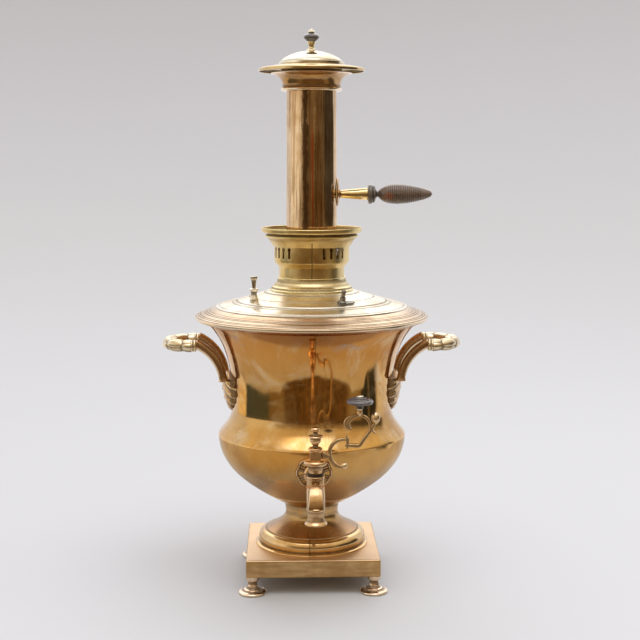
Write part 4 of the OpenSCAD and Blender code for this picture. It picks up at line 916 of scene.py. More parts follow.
def arm_strand(name, side, sign, node):
    """One cast arm: an arc of radius ARM_R in the plane y = side, (s, a) -> a bar of half width
    4.5 + 0.8 t^2 + 1.1 exp(-(t / 0.05)^2) at the share t of its length, so that it thickens at its ends."""
    t = end_spaced(48, 0.04, 6)
    a = np.radians(176.5 - 64.5 * t)
    x = HANDLE_REACH - 19.7 + ARM_R * np.cos(a)
    z = SHOULDER_Z + ARM_Z + ARM_R * np.sin(a)
    path = np.stack([x, np.full(len(t), float(side)), z], 1)
    across = np.stack([np.cos(a), 0 * a, np.sin(a)], 1)
    up = np.tile([0.0, 1.0, 0.0], (len(t), 1))
    w = 4.5 + 0.8 * t ** 2 + 1.1 * bell(t, 0.05)
    thick = 4.0 + 0.7 * bell(t, 0.05)
    grid = strand(path, across, up, w, thick, columns=36, power=0.72, blunt=0.2)
    grid[:, :, 0] *= sign
    round_a = circle(36)
    # Painted light on the bar: painted highlights along its four edges, the outer side painted darker and the
    # inner side painted lighter.
    hollow = 0.07 * np.cos(round_a) - 0.2 * np.abs(np.sin(2 * round_a)) ** 8 + 0 * t[:, None]
    return piece(name, skin(name, grid, hollow=hollow), node, finish("arm"))


def leafy_bend(name, sign, node):
    """The handle's bend: a half ring of radius 26 whose section swells in overlapping leaves, as
    r = r0 (0.84 + 0.19 sin(pi t)^0.5 |cos(2 a + k pi / 2 + 0.5)|^0.45), with t the way along leaf row k."""
    x0, z0, half = HANDLE_REACH - 33.9, SHOULDER_Z + BEND_Z, ARM_GAP / 2 - 0.6
    r0 = (high(node) - z0) / 1.03
    s = np.linspace(-90, 90, 241)
    rows = np.abs(s) / 90 * 2.35 + 0.12
    k, t = np.floor(rows), rows % 1
    a = circle(64)
    lobe = np.abs(np.cos(2 * a[None] + k[:, None] * np.pi / 2 + 0.5)) ** 0.45
    swell = (np.sin(np.pi * np.clip(t, 0.01, 0.99)) ** 0.5)[:, None] * lobe
    r = r0 * (0.84 + 0.19 * swell)
    # Painted shade on the underside and in the creases between the lobes, and a painted highlight on the
    # lobes' tops.
    under = held(-np.sin(a) - 0.15)
    hollow = 0.22 * held(0.85 - 1.9 * swell) - 0.08 * swell * (1 - under) + 0.09 * under
    c, d = np.cos(np.radians(s))[:, None], np.sin(np.radians(s))[:, None]
    out = half + r * np.cos(a)
    grid = np.stack([x0 + out * c, (ARM_GAP / 2 / half) * out * d, z0 + r * np.sin(a)], -1)
    grid, hollow = with_poles(grid, hollow)
    grid[:, :, 0] *= sign
    return piece(name, skin(name, grid, hollow=hollow), node, finish("leaf"))


def handle_leaf(name, sign, node):
    """The acanthus leaf under a handle: (u, v) -> a point v of the way up the waist and u of the half width
    round it, raised off the wall by h = face(v) (1 - |u|^2.2 / 2) + a vein 0.9 exp(-(y / 1.4)^2). Leaflets
    overlap as a saw tooth, whose height is a setting."""
    leaf_z = SHOULDER_Z + LEAF_Z
    tip_z, crown_z, half = leaf_z - 37.4, leaf_z + 8, ARM_GAP / 2
    v = np.linspace(0, 1, 120)[:, None]
    u = np.linspace(-1, 1, 61)[None]
    z = tip_z + (crown_z - tip_z) * v
    side = joined(bezier([0, tip_z], [9, tip_z + 1], [half + 5, leaf_z - 28], [half + 5, leaf_z - 12]),
                  [[half + 5, leaf_z - 1], [half + 4, leaf_z + 1.5], [half - 4, leaf_z + 3]],
                  bezier([half - 8, leaf_z + 4], [half - 14, leaf_z + 5], [7, crown_z], [0, crown_z]))
    width = np.interp(z, side[:, 1], side[:, 0])
    scallop = 1 - 0.07 * (0.5 + 0.5 * np.cos(2 * np.pi * v * 5.5)) * (v < 0.84)
    y = width * scallop * u
    face = np.interp(z, [tip_z, leaf_z - 30, leaf_z - 18, leaf_z - 7, leaf_z, crown_z],
                     [1.2, 6.2, 9.6, 10.6, 10.2, 2.6])
    phase = (-v * 4.2 - 1.3 * np.abs(u) ** 1.2 * width / half + 7) % 1
    ribs = np.where(phase < 0.86, (phase / 0.86) ** 0.7, (1 - phase) / 0.14)
    edge = held((1 - np.abs(u)) / 0.12) * held(np.minimum(v, 1 - v) / 0.03)
    step = sizes().leaflet_step / MM * (ribs - 1)
    h = (face * (1 - 0.5 * np.abs(u) ** 2.2) + step + 0.9 * bell(y, 1.4)) * np.sqrt(edge) + SEAT
    outer = np.stack([on_drum(wall_radius(z) + h, y), y, z + 0 * u], -1)
    back = np.stack([on_drum(wall_radius(z) + SEAT, y), y, z + 0 * u], -1)
    grid = np.concatenate([outer, back[:, ::-1]], 1)
    # Painted shadow at the foot of each leaflet under the one above, a painted highlight along each leaflet's
    # edge, and painted shade round the leaf's border.
    dark = 0.2 * held(1.1 - 2.2 * ribs) - 0.22 * bell(phase - 0.84, 0.07) + 0.1 * (edge < 0.6)
    grid, hollow = with_poles(grid, np.concatenate([dark, 0 * dark], 1))
    grid[:, :, 0] *= sign
    return piece(name, skin(name, grid, hollow=hollow), node, finish("acanthus"))


def build_side_handles():
    """Both side handles: two arms, two collars, the leafy bend and the leaf on the waist."""
    collar = [(0, 0), (5.4, 0), (6.4, 0.5), (6.7, 1.5), (6.4, 2.5), (5.6, 3.1), (6.3, 3.7), (6.6, 4.8),
              (6.1, 5.9), (5.6, 6.7), (0, 6.7)]
    for word, sign in (("right", 1), ("left", -1)):
        loop = word + "_handle_loop"
        for tag, side in (("front", -ARM_GAP / 2), ("rear", ARM_GAP / 2)):
            arm_strand(f"{word}_arm_{tag}", side, sign, loop)
            turned(f"{word}_collar_{tag}", collar, loop, finish("leaf"),
                   (sign * (HANDLE_REACH - 39.6), side, SHOULDER_Z + BEND_Z),
                   ALONG_X * [[1], [1], [sign]], steps=40, edge=0.4, width=1.0)
        leafy_bend(word + "_bend", sign, loop)
        handle_leaf(word + "_leaf", sign, word + "_handle_leaf")


# ---------------------------------------------------------------- the tap

def rosette(name, node):
    """The scalloped plate: (q, a) -> a point q R (0.93 + 0.07 |cos 4a|) from the centre, on the bowl's face,
    raised by a rim and by eight pairs of ridges exp(-((d - 1.35) / 0.5)^2) at the distance d from the
    spokes."""
    centre_z, r0 = middle(node, 2), (high(node, 0) - low(node, 0)) / 2
    q = np.linspace(5.3 / r0, 1, 40)[:, None]
    a = circle(320)
    edge = r0 * (0.93 + 0.07 * np.abs(np.cos(4 * a)))
    x, dz = q * edge * np.cos(a), q * edge * np.sin(a)
    z = centre_z + dz
    d = q * edge * np.abs(a % (np.pi / 4) - np.pi / 8)
    inwards = (1 - q) * edge
    raised = np.maximum(bell(d - 1.35, 0.5) * (q > 0.5), bell(inwards - 1.3, 0.7))
    petal = held(d / 5) * np.sin(np.pi * q)
    h = 1.0 + sizes().rosette_ridge / MM * raised + 0.5 * petal
    h = SEAT + h * held((1 - q) / 0.05) ** 0.5
    r = bowl_radius(z)
    outer = np.stack([x, -on_drum(r + h, x), z], -1)
    back = np.stack([x, -on_drum(r + SEAT, x), z], -1)
    grid = np.concatenate([outer, back[::-1]])
    # Painted shade in dark lines along the spokes, beside the rays and inside the rim, and painted highlight
    # on the raised rays and rim.
    dark = bell(d, 0.7) + 0.8 * bell(d - 2.7, 0.6) * (q > 0.45) + bell(inwards - 2.9, 0.6)
    dark = 0.16 * held(dark) - 0.12 * raised
    hollow = np.concatenate([dark, 0 * dark])
    return piece(name, skin(name, grid, wrap_rows=True, hollow=hollow), node, finish("petal"))


def elbow(name, node):
    """The faceted elbow: a quarter ring of radius SPOUT_REACH with an eight-sided section, whose outer side
    opens like a tongue, of half width 0.7 + 4.6 ((66 - t) / 16)^0.5 + 2.4 (66 - t) / 66 at t degrees."""
    degrees = np.linspace(90, 0, 46)
    t = np.radians(degrees)
    wide = BARREL_R + 0.2
    half = 0.7 + 4.6 * held((66 - degrees) / 16) ** 0.5 + 2.4 * held((66 - degrees) / 66)
    ring = [joined([[7.2, -w - 0.3], [7.9, -w], [8.5, -0.4 * w], [8.5, 0.4 * w], [7.9, w], [7.2, w + 0.3],
                    [3.2, wide], [-4.4, wide], [-7.6, 5.0], [-7.6, -5.0], [-4.4, -wide], [3.2, -wide],
                    [7.2, -w - 0.3]]) for w in half]
    section = np.stack([resampled(line, np.linspace(0, 1, 121)[:-1]) for line in ring])
    from_edge = np.abs(section[:, :, 1]) - half[:, None]
    outer = section[:, :, 0] > 5.0
    # A painted highlight along the tongue's edge and a painted dark line just outside it.
    hollow = 0.16 * (bell(from_edge - 0.8, 0.55) - bell(from_edge, 0.45)) * outer
    z0 = SPOUT_Z - SPOUT_REACH
    out = SPOUT_REACH + section[:, :, 0]
    grid = np.stack([section[:, :, 1], KEY_Y - np.cos(t)[:, None] * out, z0 + np.sin(t)[:, None] * out], -1)
    grid, hollow = with_poles(grid, hollow)
    return piece(name, skin(name, grid, hollow=hollow), node, finish("tongue"))


def build_tap():
    """Rosette, shank, barrel, elbow, nozzle and the dark washer."""
    rosette("rosette_cast", "tap_rosette")
    plate = SHOULDER_R + 2
    reach = -KEY_Y
    turned("tap_shank", [(0, SHOULDER_R - 7), (5.2, SHOULDER_R - 7), (5.2, plate), (10.4, plate),
                         (10.8, plate + 1), (9.2, plate + 3), (6.5, plate + 5.5), (6.0, reach - 22),
                         (6.9, reach - 14), (6.9, reach - 1), (0, reach - 1)], "tap_body", finish("tap"),
           (0, 0, SHANK_Z), ALONG_MINUS_Y, steps=64, edge=0.8)
    foot = SHANK_Z - 14.9
    turned("tap_barrel", [(6.0, foot), (BARREL_R - 1.6, foot), (BARREL_R - 0.6, foot + 1),
                          (BARREL_R, foot + 4), (BARREL_R, BARREL_TOP - 3.2),
                          (BARREL_R - 0.4, BARREL_TOP - 2.8), (BARREL_R + 0.4, BARREL_TOP - 2.3),
                          (BARREL_R + 0.4, BARREL_TOP - 0.5), (BARREL_R, BARREL_TOP), (6.3, BARREL_TOP)],
           "tap_body", finish("tap"), (0, KEY_Y, 0), steps=72, edge=0.5)
    elbow("tap_elbow", "tap_body")
    h = NOZZLE_H
    mouth = SPOUT_Z - SPOUT_REACH + 1.6 - h
    turned("tap_nozzle", [(4.2, 0), (10.6, 0), (11.2, 0.5), (11.2, 1.2), (10.4, 2.4), (8.8, 0.24 * h),
                          (7.9, 0.44 * h), (8, 0.62 * h), (8.5, h - 3.4), (9.3, h - 2.4), (9.3, h - 0.8),
                          (8.6, h), (4.2, h)], "tap_body", finish("tap"), (0, KEY_Y - SPOUT_REACH, mouth),
           steps=72, edge=0.5)
    turned("washer_ring", [(5.6, 0), (BARREL_R - 0.7, 0), (BARREL_R - 0.7, 2.6), (5.6, 2.6)], "plug_washer",
           finish("washer"), (0, KEY_Y, low("plug_washer")), steps=64, edge=0.4)


def build_tap_key():
    """Plug with its cup and block, finial, scroll-work branch and black knob."""
    foot, top = SHANK_Z - 16.1, BARREL_TOP
    turned("key_cup", [(0, foot), (5.42, foot), (6.24, top), (5.5, top + 0.05), (5.5, KEY_Z), (6.7, KEY_Z),
                       (7, KEY_Z + 4.2), (8.2, KEY_Z + 7.6), (10.8, KEY_Z + 8.6), (11.9, KEY_Z + 10),
                       (11.9, KEY_Z + 11.6), (10.9, KEY_Z + 12.9), (8.4, KEY_Z + PLUG_CUP_H),
                       (0, KEY_Z + PLUG_CUP_H)],
           "tap_plug", finish("tap"), (0, KEY_Y, 0), steps=80, edge=0.5)
    block_z, finial_z = KEY_Z + PLUG_CUP_H, high("tap_plug")
    b, e = BLOCK_HALF, 0.7
    square_loft("key_block", [(0, 0.5, 0, block_z - 0.3), (b, 0.6, 0, block_z - 0.3),
                              (b, 0.6, 0, block_z + 0.4), (b, 0.6, 0, finial_z - e - 0.5),
                              (b, 0.6, 0, finial_z - e), (b - 0.2, 0.5, 0, finial_z - e * 0.4),
                              (b - 0.6, 0.3, 0, finial_z), (b - 1.1, 0.3, 0, finial_z),
                              (0, 0.3, 0, finial_z)], "tap_plug", finish("satin"), (0, KEY_Y), wrap=False)
    turned("key_finial", [(0, 0), (6.2, 0), (7.1, 1), (7.1, 2.2), (5.4, 3.2), (3, 3.9), (2.65, 4.9),
                          (3.6, 6.6), (5.2, 8.6), (5.7, 10.6), (5.2, 12.3), (5.6, 12.9), (7.4, 13.4),
                          (7.6, 14.2), (7, 15), (3.4, 15.8), (2.3, 17), (2.3, 18.4), (3.4, 19.2),
                          (4.5, 20.6), (4.5, 21.8), (3.4, 23.1), (1.5, 23.8), (0, 23.8)], "tap_finial",
           finish("tap"), (0, KEY_Y, finial_z), steps=56, edge=0.7)
    node, cast = "scroll_branch", finish("branch")
    c = np.array([12.1 + SCROLL_R, block_z + 6.6])
    mid = SCROLL_R - 1.8
    hook, crest = c + [2.4, 8], c + [15.3, 27.1]
    flat_strand("branch_scroll", arc(c, mid, 72, 268, 60), [2.4, 3.8, 4.2, 4.4, 4.2, 3.8], 4.2, node, cast,
                KEY_Y)
    spur = bezier(c + [-1.6, mid + 0.4], c + [1.8, mid + 1.6], hook + [2.4, 9], hook + [1.4, 4], 20)
    spur = joined(c + [3.2, mid + 5.0], spur[10:], hook + [1.3, -3.4])
    flat_strand("branch_spur", spur, [0.5, 2.8, 3.6, 3.2, 1.8], 4.1, node, cast, KEY_Y)
    bar = joined([hook + [-1, 0.2], hook + [13, -0.6]],
                 bezier(hook + [15.4, 2.4], hook + [18, 7], hook + [24, 13], hook + [28.4, 22]))
    flat_strand("branch_bar", rounded(bar, 4.0, steps=6), [3.6, 4.1, 3.8, 3.6, 3.4], 4.2, node, cast, KEY_Y)
    arch = joined([crest + [16.4, -7.2], crest + [13.6, -4.8]], arc(crest, ARCH_R, -10, 168, 40),
                  [crest + [-9.6, -1.8], crest + [-7.4, -3.2]])
    flat_strand("branch_arch", rounded(arch, 2.0, steps=4), [1.6, 2.6, 3.2, 3.4, 3.2, 2.6], 4.0, node, cast,
                KEY_Y, n=90)
    leaf = bezier(crest + [-8.6, -2.6], crest + [-17, 1], crest + [-14, 9], crest + [-5.4, 11.2])
    flat_strand("branch_leaf", leaf, [2.6, 3.7, 3.3, 2.4, 1.2], 3.8, node, cast, KEY_Y)
    lug = bezier([5.6, 0], [9, 0], [11, -0.6], [14.4, -1.2], 10) + [0, block_z + 5.0]
    flat_strand("branch_lug", lug, [8.6, 8.0, 5.0, 3.8], 7.6, node, cast, KEY_Y, power=0.35)
    curve = [(3.4 * math.cos(a), 3.4 * math.sin(a)) for a in np.linspace(-1.2, 1.2, 9)]
    turned("branch_curl", [(0, -3.4), *curve, (0, 3.4)], node, cast, (c[0] + 0.6, KEY_Y, c[1] - mid + 1.4),
           steps=32, edge=0.3)
    turned("branch_bud", [(0, -7), (2.2, -5.6), (4.2, -2.6), (4.7, 0.4), (3.7, 3.6), (1.7, 5.6), (0, 6.1)],
           node, cast, (hook[0] + 29.2, KEY_Y, c[1] + 35.5), steps=32, edge=1.4)
    stem_x, arch_top = crest[0] + 0.6, crest[1] + ARCH_R
    stem_top = arch_top + 6.8
    turned("branch_stem", [(1.75, arch_top - 0.6), (2, arch_top - 0.6), (2.9, arch_top + 2.6),
                           (2.4, stem_top - 2), (3, stem_top), (1.75, stem_top)], node, cast,
           (stem_x, KEY_Y, 0), steps=32, edge=0.4)
    r = (high("branch_knob", 0) - low("branch_knob", 0)) / 2
    turned("knob_turned", [(1.7, 0), (3.6, 0), (3.2, 1.6), (4.4, 3), (0.63 * r, 3.8), (r - 1.2, 4.9),
                           (r, 6.6), (r, 7.4), (r - 0.9, 8.7), (0.84 * r, 9.4), (0.79 * r, 8.6),
                           (0.74 * r, 9.9), (0.56 * r, 10.5), (0.51 * r, 9.7), (0.46 * r, 11.2),
                           (3.9, 11.8), (1.7, 11.8)], "branch_knob", finish("black"),
           (stem_x, KEY_Y, stem_top), steps=72, edge=0.35)
    turned("screw_turned", [(0, -4.6), (1.6, -4.6), (1.6, 11.8), (3.7, 11.8), (3.7, 12.5), (2.6, 13.4),
                            (0, 13.8)], "knob_screw", finish("cap"), (stem_x, KEY_Y, stem_top), steps=40,
           edge=0.4)


# ---------------------------------------------------------------- lid and crown

def lid_place(azimuth):
    """Origin and axes of a place on the lid's slope, with the third axis square to it."""
    a = math.radians(azimuth)
    x = np.array([math.cos(a), math.sin(a), 0])
    out = np.array([math.sin(a), -math.cos(a), 0])
    z = np.array([0, 0, 1]) * math.cos(LID_PITCH) + out * math.sin(LID_PITCH)
    y = np.cross(z, x)
    level = LID_STEP_Z + (STEP_R - FITTING_R) * math.tan(LID_PITCH)
    return out * FITTING_R + np.array([0, 0, level]), np.stack([x, y, z])


def build_lid():
    """Lid plate with its spigot, the turned neck, the post and the vent's screw."""
    lid_r, step_z, neck_r = high("lid_plate", 0), LID_STEP_Z, NECK_R
    face = rounded([[lid_r, LID_Z + SHEET + 0.1], [lid_r - 6.6, LID_Z + 3.4], [STEP_R + 3, step_z - 1.4],
                    [STEP_R + 0.5, step_z - 0.9], [STEP_R, step_z], [LAND_R, LAND_Z], [neck_r + 0.4, LAND_Z]],
                   0.8)
    cut = chased(face, [2.4, 4.0, 17.5, 19.6, 38.0, 54.5, 56.5], sizes().lid_groove / MM, 0.5)
    turned("lid_spun", joined([[lid_r, LID_Z]], cut, inset(face, SHEET)[::-1], [[lid_r - 0.6, LID_Z]]),
           "lid_plate", finish("lid"), steps=192, edge=0.3, wobble=0.03)
    turned("lid_spigot", [(94.4, LID_Z - 8), (95.6, LID_Z - 8), (95.6, LID_Z + 3.3), (94.4, LID_Z + 3.5)],
           "lid_plate", finish("inside"), steps=128, edge=0.3)
    k = NECK_Z - LAND_Z
    land, bore = LAND_R, NECK_BORE
    turned("neck_spun", [(bore, LAND_Z), (land - 0.9, LAND_Z), (land - 0.9, LAND_Z + 0.11 * k),
                         (land - 2.2, LAND_Z + 0.16 * k), (land - 3.2, LAND_Z + 0.24 * k),
                         (land - 3.2, LAND_Z + 0.3 * k), (land - 4.6, LAND_Z + 0.36 * k),
                         (land - 6.2, LAND_Z + 0.45 * k), (neck_r + 1.9, LAND_Z + 0.58 * k),
                         (neck_r + 0.5, LAND_Z + 0.7 * k), (neck_r, LAND_Z + 0.82 * k),
                         (neck_r, NECK_Z - 0.4), (neck_r - 0.4, NECK_Z), (bore, NECK_Z)], "lid_neck",
           finish("neck"), steps=160, edge=0.6)
    origin, _ = lid_place(POST_AZIMUTH)
    turned("post_turned", [(2, -1), (4.9, -1), (4.9, 1.7), (4.1, 4), (3, 7), (3.2, 9.4), (5.1, 12),
                           (5.1, 12.8), (3.4, 13.6), (2, 13.6)], "lid_post", finish("lid"), origin,
           steps=48, edge=0.6)
    turned("post_screw", [(0, 3), (1.9, 3), (1.9, 13.8), (2.4, 18), (2.7, 22), (3.9, 24), (4.1, 24.4),
                          (4.1, 26), (3.6, 26.4), (0, 26.2)], "lid_post_screw", finish("nickel"), origin,
           steps=48, edge=0.4)
    origin, axes = lid_place(VENT_AZIMUTH)
    turned("vent_rod", [(0, -2.8), (3, -2.8), (3.6, -2.2), (3.6, -1.4), (1.9, -1.4), (1.9, 9), (2.4, 11),
                        (2.4, 14.6), (2, 15), (0, 15)], "vent_screw", finish("steel"), origin, axes, steps=40,
           edge=0.4)
    turned("vent_boss", [(2, 0), (4.4, 0), (4.4, 0.8), (3.4, 1.6), (2.8, 2.6), (2, 2.6)], "vent_base",
           finish("steel"), origin + 1.6 * axes[2], axes, steps=40, edge=0.3)


def build_crown():
    """Slotted band and flared dish."""
    welded("crown_band_spun", "crown_band", finish("crown"))
    k, r, band_r = DISH_H, high("crown_dish", 0), BAND_R
    h = BAND_Z
    dish = [(band_r + 1.2, h), (band_r + 2.2, h + 0.08 * k), (band_r + 3.8, h + 0.22 * k),
            (r - 7.9, h + 0.38 * k), (r - 5.3, h + 0.485 * k), (r - 3.7, h + 0.525 * k),
            (r - 3.7, h + 0.585 * k), (r - 5.7, h + 0.61 * k), (r - 6.1, h + 0.665 * k),
            (r - 5.1, h + 0.71 * k), (r - 1.9, h + 0.73 * k), (r - 0.4, h + 0.79 * k), (r, h + 0.885 * k),
            (r, h + 0.97 * k), (r - 0.6, h + k), (r - 1.4, h + 0.98 * k), (r - 1.6, h + 0.89 * k),
            (r - 2.7, h + 0.8 * k), (r - 5.4, h + 0.757 * k), (r - 8.9, FLOOR_Z), (29, FLOOR_Z),
            (29, FLOOR_Z - 1.2), (r - 9.3, FLOOR_Z - 1.2), (r - 8, h + 0.57 * k), (r - 8.9, h + 0.45 * k),
            (band_r + 2.4, h + 0.27 * k), (band_r + 0.6, h + 0.12 * k), (band_r, h)]
    turned("crown_dish_spun", dish, "crown_dish", finish("crown"), steps=160, edge=0.7)


# ---------------------------------------------------------------- chimney and cap

def pipe_radius(z):
    """The pipe's outer radius, which shrinks evenly with height."""
    start = FLOOR_Z - PIPE_DROP
    return PIPE_R - PIPE_TAPER * (z - start) / (COLLAR_Z - start)


def build_chimney():
    """Pipe, its foot and collar, and the turned handle on its boss."""
    z = np.linspace(FLOOR_Z - PIPE_DROP, COLLAR_Z - 0.1, 24)
    outer = np.stack([pipe_radius(z), z], 1)
    turned("pipe_spun", shell(outer), "chimney_tube", finish("chimney"), steps=160, edge=0.3, wobble=0.05)
    bore = pipe_radius(FLOOR_Z) + SEAT
    turned("pipe_foot", [(bore, FLOOR_Z), (PIPE_R + 4.8, FLOOR_Z), (PIPE_R + 4.8, FLOOR_Z + 1.1),
                         (PIPE_R + 3, FLOOR_Z + 2.4), (bore + 0.8, FLOOR_Z + 3), (bore, FLOOR_Z + 3)],
           "chimney_foot", finish("chimney"), steps=128, edge=0.4)
    base, rim = COLLAR_Z - 19.4, high("chimney_collar", 0)
    bore = pipe_radius(base) + SEAT
    collar = joined([[bore, base], [PIPE_R + 3.6, base], [PIPE_R + 4.8, base + 0.9]],
                    [[PIPE_R + 4.9, base + 2.2], [PIPE_R + 4, base + 3.4]],
                    bezier([PIPE_R + 3.3, base + 5], [PIPE_R + 3.2, base + 12], [rim - 9, base + 16.5],
                           [rim - 1, COLLAR_Z - 0.9], 24),
                    [[rim, COLLAR_Z - 0.7], [rim, COLLAR_Z], [bore, COLLAR_Z]])
    turned("collar_spun", collar, "chimney_collar", finish("collar"), steps=160, edge=0.6)
    boss_plate("boss_plate", "handle_boss")
    centre, g = (0, 0, GRIP_LEVEL), GRIP_BORE
    at = PIPE_R + 3.8
    ring_at, grip_at = low("handle_ring", 0), low("handle_grip", 0)
    turned("boss_cup", [(g, 0), (6.5, 0), (5.6, 1.8), (4.4, 3.2), (g, 3.2)], "handle_boss", finish("chimney"),
           (PIPE_R + 0.5, 0, GRIP_LEVEL), ALONG_X, steps=48, edge=0.5)
    turned("stem_turned", [(g, at), (4.2, at), (7, ring_at), (g, ring_at)], "handle_stem",
           finish("stem"), centre, ALONG_X, steps=56, edge=0.5)
    turned("ring_turned", [(g, ring_at), (8.4, ring_at), (10.6, ring_at + 1), (11.1, ring_at + 2.6),
                           (10.8, ring_at + 4.4), (9.6, ring_at + 5.4), (10.1, ring_at + 6.6),
                           (9, ring_at + 8), (5.6, ring_at + 9.4), (3.4, ring_at + 10.4), (3.1, grip_at),
                           (g, grip_at)], "handle_ring", finish("dark"), centre, ALONG_X, steps=72,
           edge=0.7)
    l, r = high("handle_grip", 0) - grip_at, high("handle_grip") - GRIP_LEVEL
    body = joined([[3.4, grip_at]],
                  bezier([3.6, grip_at + 0.6], [0.66 * r, grip_at + 0.06 * l], [r, grip_at + 0.14 * l],
                         [r, grip_at + 0.33 * l], 30)[:-1],
                  bezier([r, grip_at + 0.33 * l], [r, grip_at + 0.6 * l], [0.6 * r, grip_at + 0.86 * l],
                         [0.3 * r, grip_at + 0.97 * l], 60),
                  [[0.14 * r, grip_at + l], [0, grip_at + l]])
    rows = np.arange(0.22 * l, 0.83 * l, sizes().grip_pitch / MM)
    body = chased(body, rows, sizes().grip_groove / MM, 0.42)
    core = 0.76 * l
    turned("grip_turned", joined([[0, grip_at + core], [g, grip_at + core], [g, grip_at]], body),
           "handle_grip", finish("brown"), centre, ALONG_X, steps=72, edge=0.3, width=0.9)


def boss_plate(name, node):
    """The oval plate on the pipe: (q, a) -> y = 10 q cos a, z = 16 q sin a, on the pipe's face and raised by
    0.7 + 1.7 (1 - q^2)."""
    skin_r, centre = PIPE_R + SEAT, GRIP_LEVEL + 2.4
    q = np.concatenate([[0], np.linspace(0.1, 0.94, 10), [0.98, 1.0]])[:, None]
    a = circle(64)
    y, z = 10 * q * np.cos(a), centre + 16 * q * np.sin(a)
    h = (0.7 + 1.7 * (1 - q * q)) * held((1 - q) / 0.04) ** 0.5
    outer = np.stack([on_drum(skin_r + h, y), y, z], -1)
    back = np.stack([on_drum(skin_r, y), y, z], -1)
    grid = np.concatenate([outer, back[::-1]])
    return piece(name, skin(name, grid), node, finish("chimney"))


def build_cap():
    """Smoke cap: brim, dome, finial and black knob."""
    r, dome_r = high("cap_plate", 0), high("cap_dome", 0) - 1.2
    plate = rounded([[r, BRIM_Z - 7.6], [r, BRIM_Z - 5.2], [r - 0.9, BRIM_Z - 4.2], [r - 3.4, BRIM_Z - 3.4],
                     [dome_r + 2.6, BRIM_Z - 0.2], [dome_r + 1.4, BRIM_Z], [dome_r - 5, BRIM_Z]], 0.8)
    cut = chased(plate, [7.5, 9.4], sizes().brim_groove / MM, 0.45)
    turned("brim_spun", joined(cut, inset(plate, SHEET)[::-1]), "cap_plate", finish("brim"), steps=160,
           edge=0.3, wobble=0.06)
    base = low("finial_stem")
    top = base - BRIM_Z - 2.6
    curve = bezier([dome_r - 0.1, BRIM_Z + 2.6], [dome_r - 2.6, BRIM_Z + 0.6 * top],
                   [0.57 * dome_r, BRIM_Z + top + 1.2], [5.4, base], 40)
    outer = joined(curve, [[0.01, base]])
    dome = joined([[dome_r - 2, BRIM_Z], [dome_r + 1.2, BRIM_Z], [dome_r + 1.2, BRIM_Z + 2.6]], outer,
                  inset(outer, SHEET)[::-1][1:-2])
    turned("dome_spun", dome, "cap_dome", finish("cap"), steps=128, edge=0.5)
    turned("finial_neck", [(0, 0), (5.2, 0), (5.4, 0.7), (5.0, 1.4), (3.8, 1.7), (3.1, 2.8), (2.9, 4.0),
                           (3.2, 5.6), (4.2, 8.0), (5.1, 9.8), (0, 9.8)], "finial_stem",
           finish("neck_stem"), (0, 0, base), steps=48, edge=0.5)
    k = (high("finial_knob", 0) - low("finial_knob", 0)) / 2
    turned("cap_knob", [(0, 0), (5, 0), (0.7 * k, 1.2), (0.93 * k, 2.8), (k, 4.4), (0.94 * k, 6),
                        (0.74 * k, 7.4), (4.4, 8.2), (0, 8.2)], "finial_knob", finish("black"),
           (0, 0, base + 9.8), steps=64, edge=1.2)
    turned("cap_tip", [(0, 0), (3, 0), (3.2, 0.7), (4, 1.2), (4.1, 2), (3.2, 2.8), (2.5, 3.4), (2.2, 4.4),
                       (1.2, 4.9), (0, 4.9)], "finial_tip", finish("cap"), (0, 0, base + 18), steps=40,
           edge=0.6)


def dress_frame():
    """The nodes that stay as they are get their finish."""
    kept = {"corner_plates": "inside", "foot_nuts": "steel", "fire_tube": "soot", "grate": "iron",
            "handle_tang": "steel", "cap_sleeve": "inside", "vent_plate": "steel", "vent_nut": "steel"}
    for node, name in kept.items():
        NODES[node].data.materials.clear()
        NODES[node].data.materials.append(finish(name))


# ---------------------------------------------------------------- the stage

